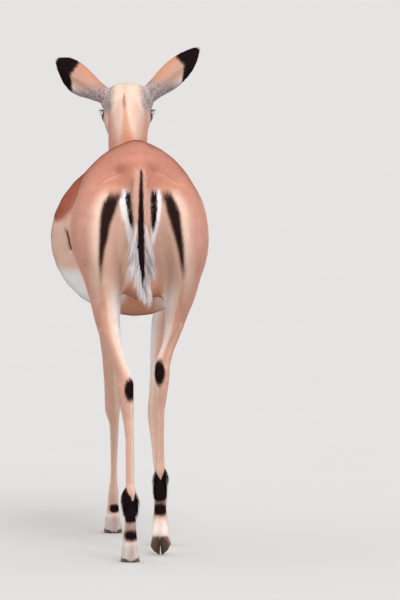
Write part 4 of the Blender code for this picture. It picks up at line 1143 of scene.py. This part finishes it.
def eyeMaterial():
    board = Board("eyeWet")
    p, q, _ = board.marks("gazeSpot")
    long, high = eyeLook["pupil"]
    iris = board.blend(board.noise(900.0), paint(eyeLook["irisDark"]), paint(eyeLook["irisLight"]))
    fromPupil = board.maths("SQRT", p * p * (1 / long ** 2) + q * q * (1 / high ** 2))
    colour = board.blend(board.soft(fromPupil, 1.12, 0.92), iris, paint(eyeLook["hole"]))
    atEdge = board.soft(board.maths("SQRT", p * p + q * q), eyeLook["iris"] - 0.0022, eyeLook["iris"] + 0.0004)
    colour = board.blend(atEdge, colour, paint(eyeLook["edge"]))
    return board.finish(Base_Color=colour, Roughness=0.6, Specular_IOR_Level=0.0,
                        Coat_Weight=(1 - atEdge) * 0.5, Coat_Roughness=0.03)


def makeEye(side, material):
    centre, look, along, up = eyeFrame(side)
    clearSelection()
    turn = Vector(look).to_track_quat("Z", "Y").to_euler()
    bpy.ops.mesh.primitive_uv_sphere_add(segments=48, ring_count=32, radius=eyeShape["ball"], location=centre,
                                         rotation=turn)
    eye = bpy.context.object
    eye.name = eye.data.name = "eye" + side.capitalize()
    bpy.ops.object.transform_apply(location=True, rotation=True, scale=True)
    points = pointsOf(eye.data)
    away = points - centre
    rim = math.cos(math.radians(eyeLook["corneaWide"]))
    swell = ease(away @ look / eyeShape["ball"], rim, 1.0) * eyeLook["cornea"]
    movePoints(eye.data, points + look * swell[:, None])
    store(eye.data, "gazeSpot", np.stack([away @ along, away @ up, away @ look], 1))
    eye.data.shade_smooth()
    eye.data.materials.append(material)
    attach(eye, "root")
    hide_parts("eye_" + side)


wet = eyeMaterial()
for side in bothSides:
    makeEye(side, wet)
say("eyes made")


# hooves
hoofLook = {"grain": 0.0009, "rounds": 4, "keep": 0.30, "dark": (40, 23, 17), "light": (120, 82, 60)}


def hornMaterial():
    board = Board("hoofHorn")
    rings, streaks = board.noise(60.0, 3.0, (1, 1, 7)), board.noise(260.0, 3.0, (1, 1, 0.12))
    broad = board.noise(38.0, 1.0)
    cleftShade, high, _ = board.marks("hornPaintedShade")
    mix = streaks * 0.35 + rings * 0.25 + broad * 0.4
    colour = board.blend(mix, paint(hoofLook["dark"]), paint(hoofLook["light"]))
    # painted shade: darker towards the cleft between the claws; also a little brighter higher up the hoof
    colour = board.dim(colour, 0.28 + cleftShade * 0.85 + high * 0.15)
    return board.finish(Base_Color=colour, Roughness=0.36 + rings * 0.25, Specular_IOR_Level=0.45,
                        Normal=board.bump(rings * 0.7 + streaks * 0.3, 0.0009))


def makeClaw(name):  # one half of a hoof, its edges worn round
    claw = copyNodes([name], name)
    modify(claw, "REMESH", mode="VOXEL", voxel_size=hoofLook["grain"], use_smooth_shade=True)
    modify(claw, "SMOOTH", factor=0.5, iterations=hoofLook["rounds"])
    modify(claw, "DECIMATE", ratio=hoofLook["keep"], use_collapse_triangulate=True)
    return claw


horn = hornMaterial()
for leg in footSpots:
    names = [leg + "_claw_outer", leg + "_claw_inner"]
    selectOnly(*[makeClaw(name) for name in names])
    bpy.ops.object.join()
    hoof = bpy.context.view_layer.objects.active
    hoof.name = hoof.data.name = "hoof" + "".join(word.capitalize() for word in leg.split("_"))
    hoof.data.shade_smooth()
    (lowOne, highOne), (lowTwo, highTwo) = (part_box(name) for name in names)
    cleft = (min(highOne.x, highTwo.x) + max(lowOne.x, lowTwo.x)) / 2
    x, _, high = pointsOf(hoof.data).T
    # painted shade in the cleft between the claws, and height above the sole
    cleftShade, above = ease(abs(x - cleft), 0.001, 0.015), ease(high - lowOne.z, 0.004, 0.030)
    store(hoof.data, "hornPaintedShade", np.stack([cleftShade, above, 0 * x], 1))
    hoof.data.materials.append(horn)
    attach(hoof, "root")
    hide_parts(*names)
say("hooves made")


# camera, light and floor
cameraPlace = {"stand": (0.022, -16.532, 1.396), "aim": (0.144, -0.532, 0.5366), "lens": 472.3}
stageLook = {"floor": 300.0, "colour": (0.58, 0.574, 0.565), "world": 1.06,
             "sun": 1.45, "sunFrom": (0.8, -3.6, 3.0), "sunSoft": 24}
cameraData = bpy.data.cameras.new("camera")
cameraData.lens, cameraData.sensor_width, cameraData.clip_end = cameraPlace["lens"], 36, 100
camera = bpy.data.objects.new("camera", cameraData)
bpy.context.scene.collection.objects.link(camera)
camera.location = cameraPlace["stand"]
camera.rotation_euler = (Vector(cameraPlace["aim"]) - camera.location).to_track_quat("-Z", "Y").to_euler()
bpy.context.scene.camera = camera

clearSelection()
bpy.ops.mesh.primitive_plane_add(size=stageLook["floor"])
floor = bpy.context.object
floor.name = floor.data.name = "floor"
board = Board("paleFloor")
pale = board.dim(stageLook["colour"], 0.99 + board.noise(3.0, 2.0) * 0.02)
floor.data.materials.append(board.finish(Base_Color=pale, Roughness=0.9, Specular_IOR_Level=0.0))
clearSelection()
bpy.ops.object.light_add(type="SUN", location=stageLook["sunFrom"])
lamp = bpy.context.object
lamp.data.energy, lamp.data.angle = stageLook["sun"], math.radians(stageLook["sunSoft"])
lamp.rotation_euler = Vector(stageLook["sunFrom"]).to_track_quat("Z", "Y").to_euler()
world = bpy.data.worlds.new("studio")
bpy.context.scene.world = world
world.use_nodes = True
background = world.node_tree.nodes["Background"].inputs
background[0].default_value, background[1].default_value = (1, 1, 1, 1), stageLook["world"]
bpy.context.scene.view_settings.view_transform = "Standard"

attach(skin, "root")
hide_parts(*fleshNodes)
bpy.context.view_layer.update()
say("done")
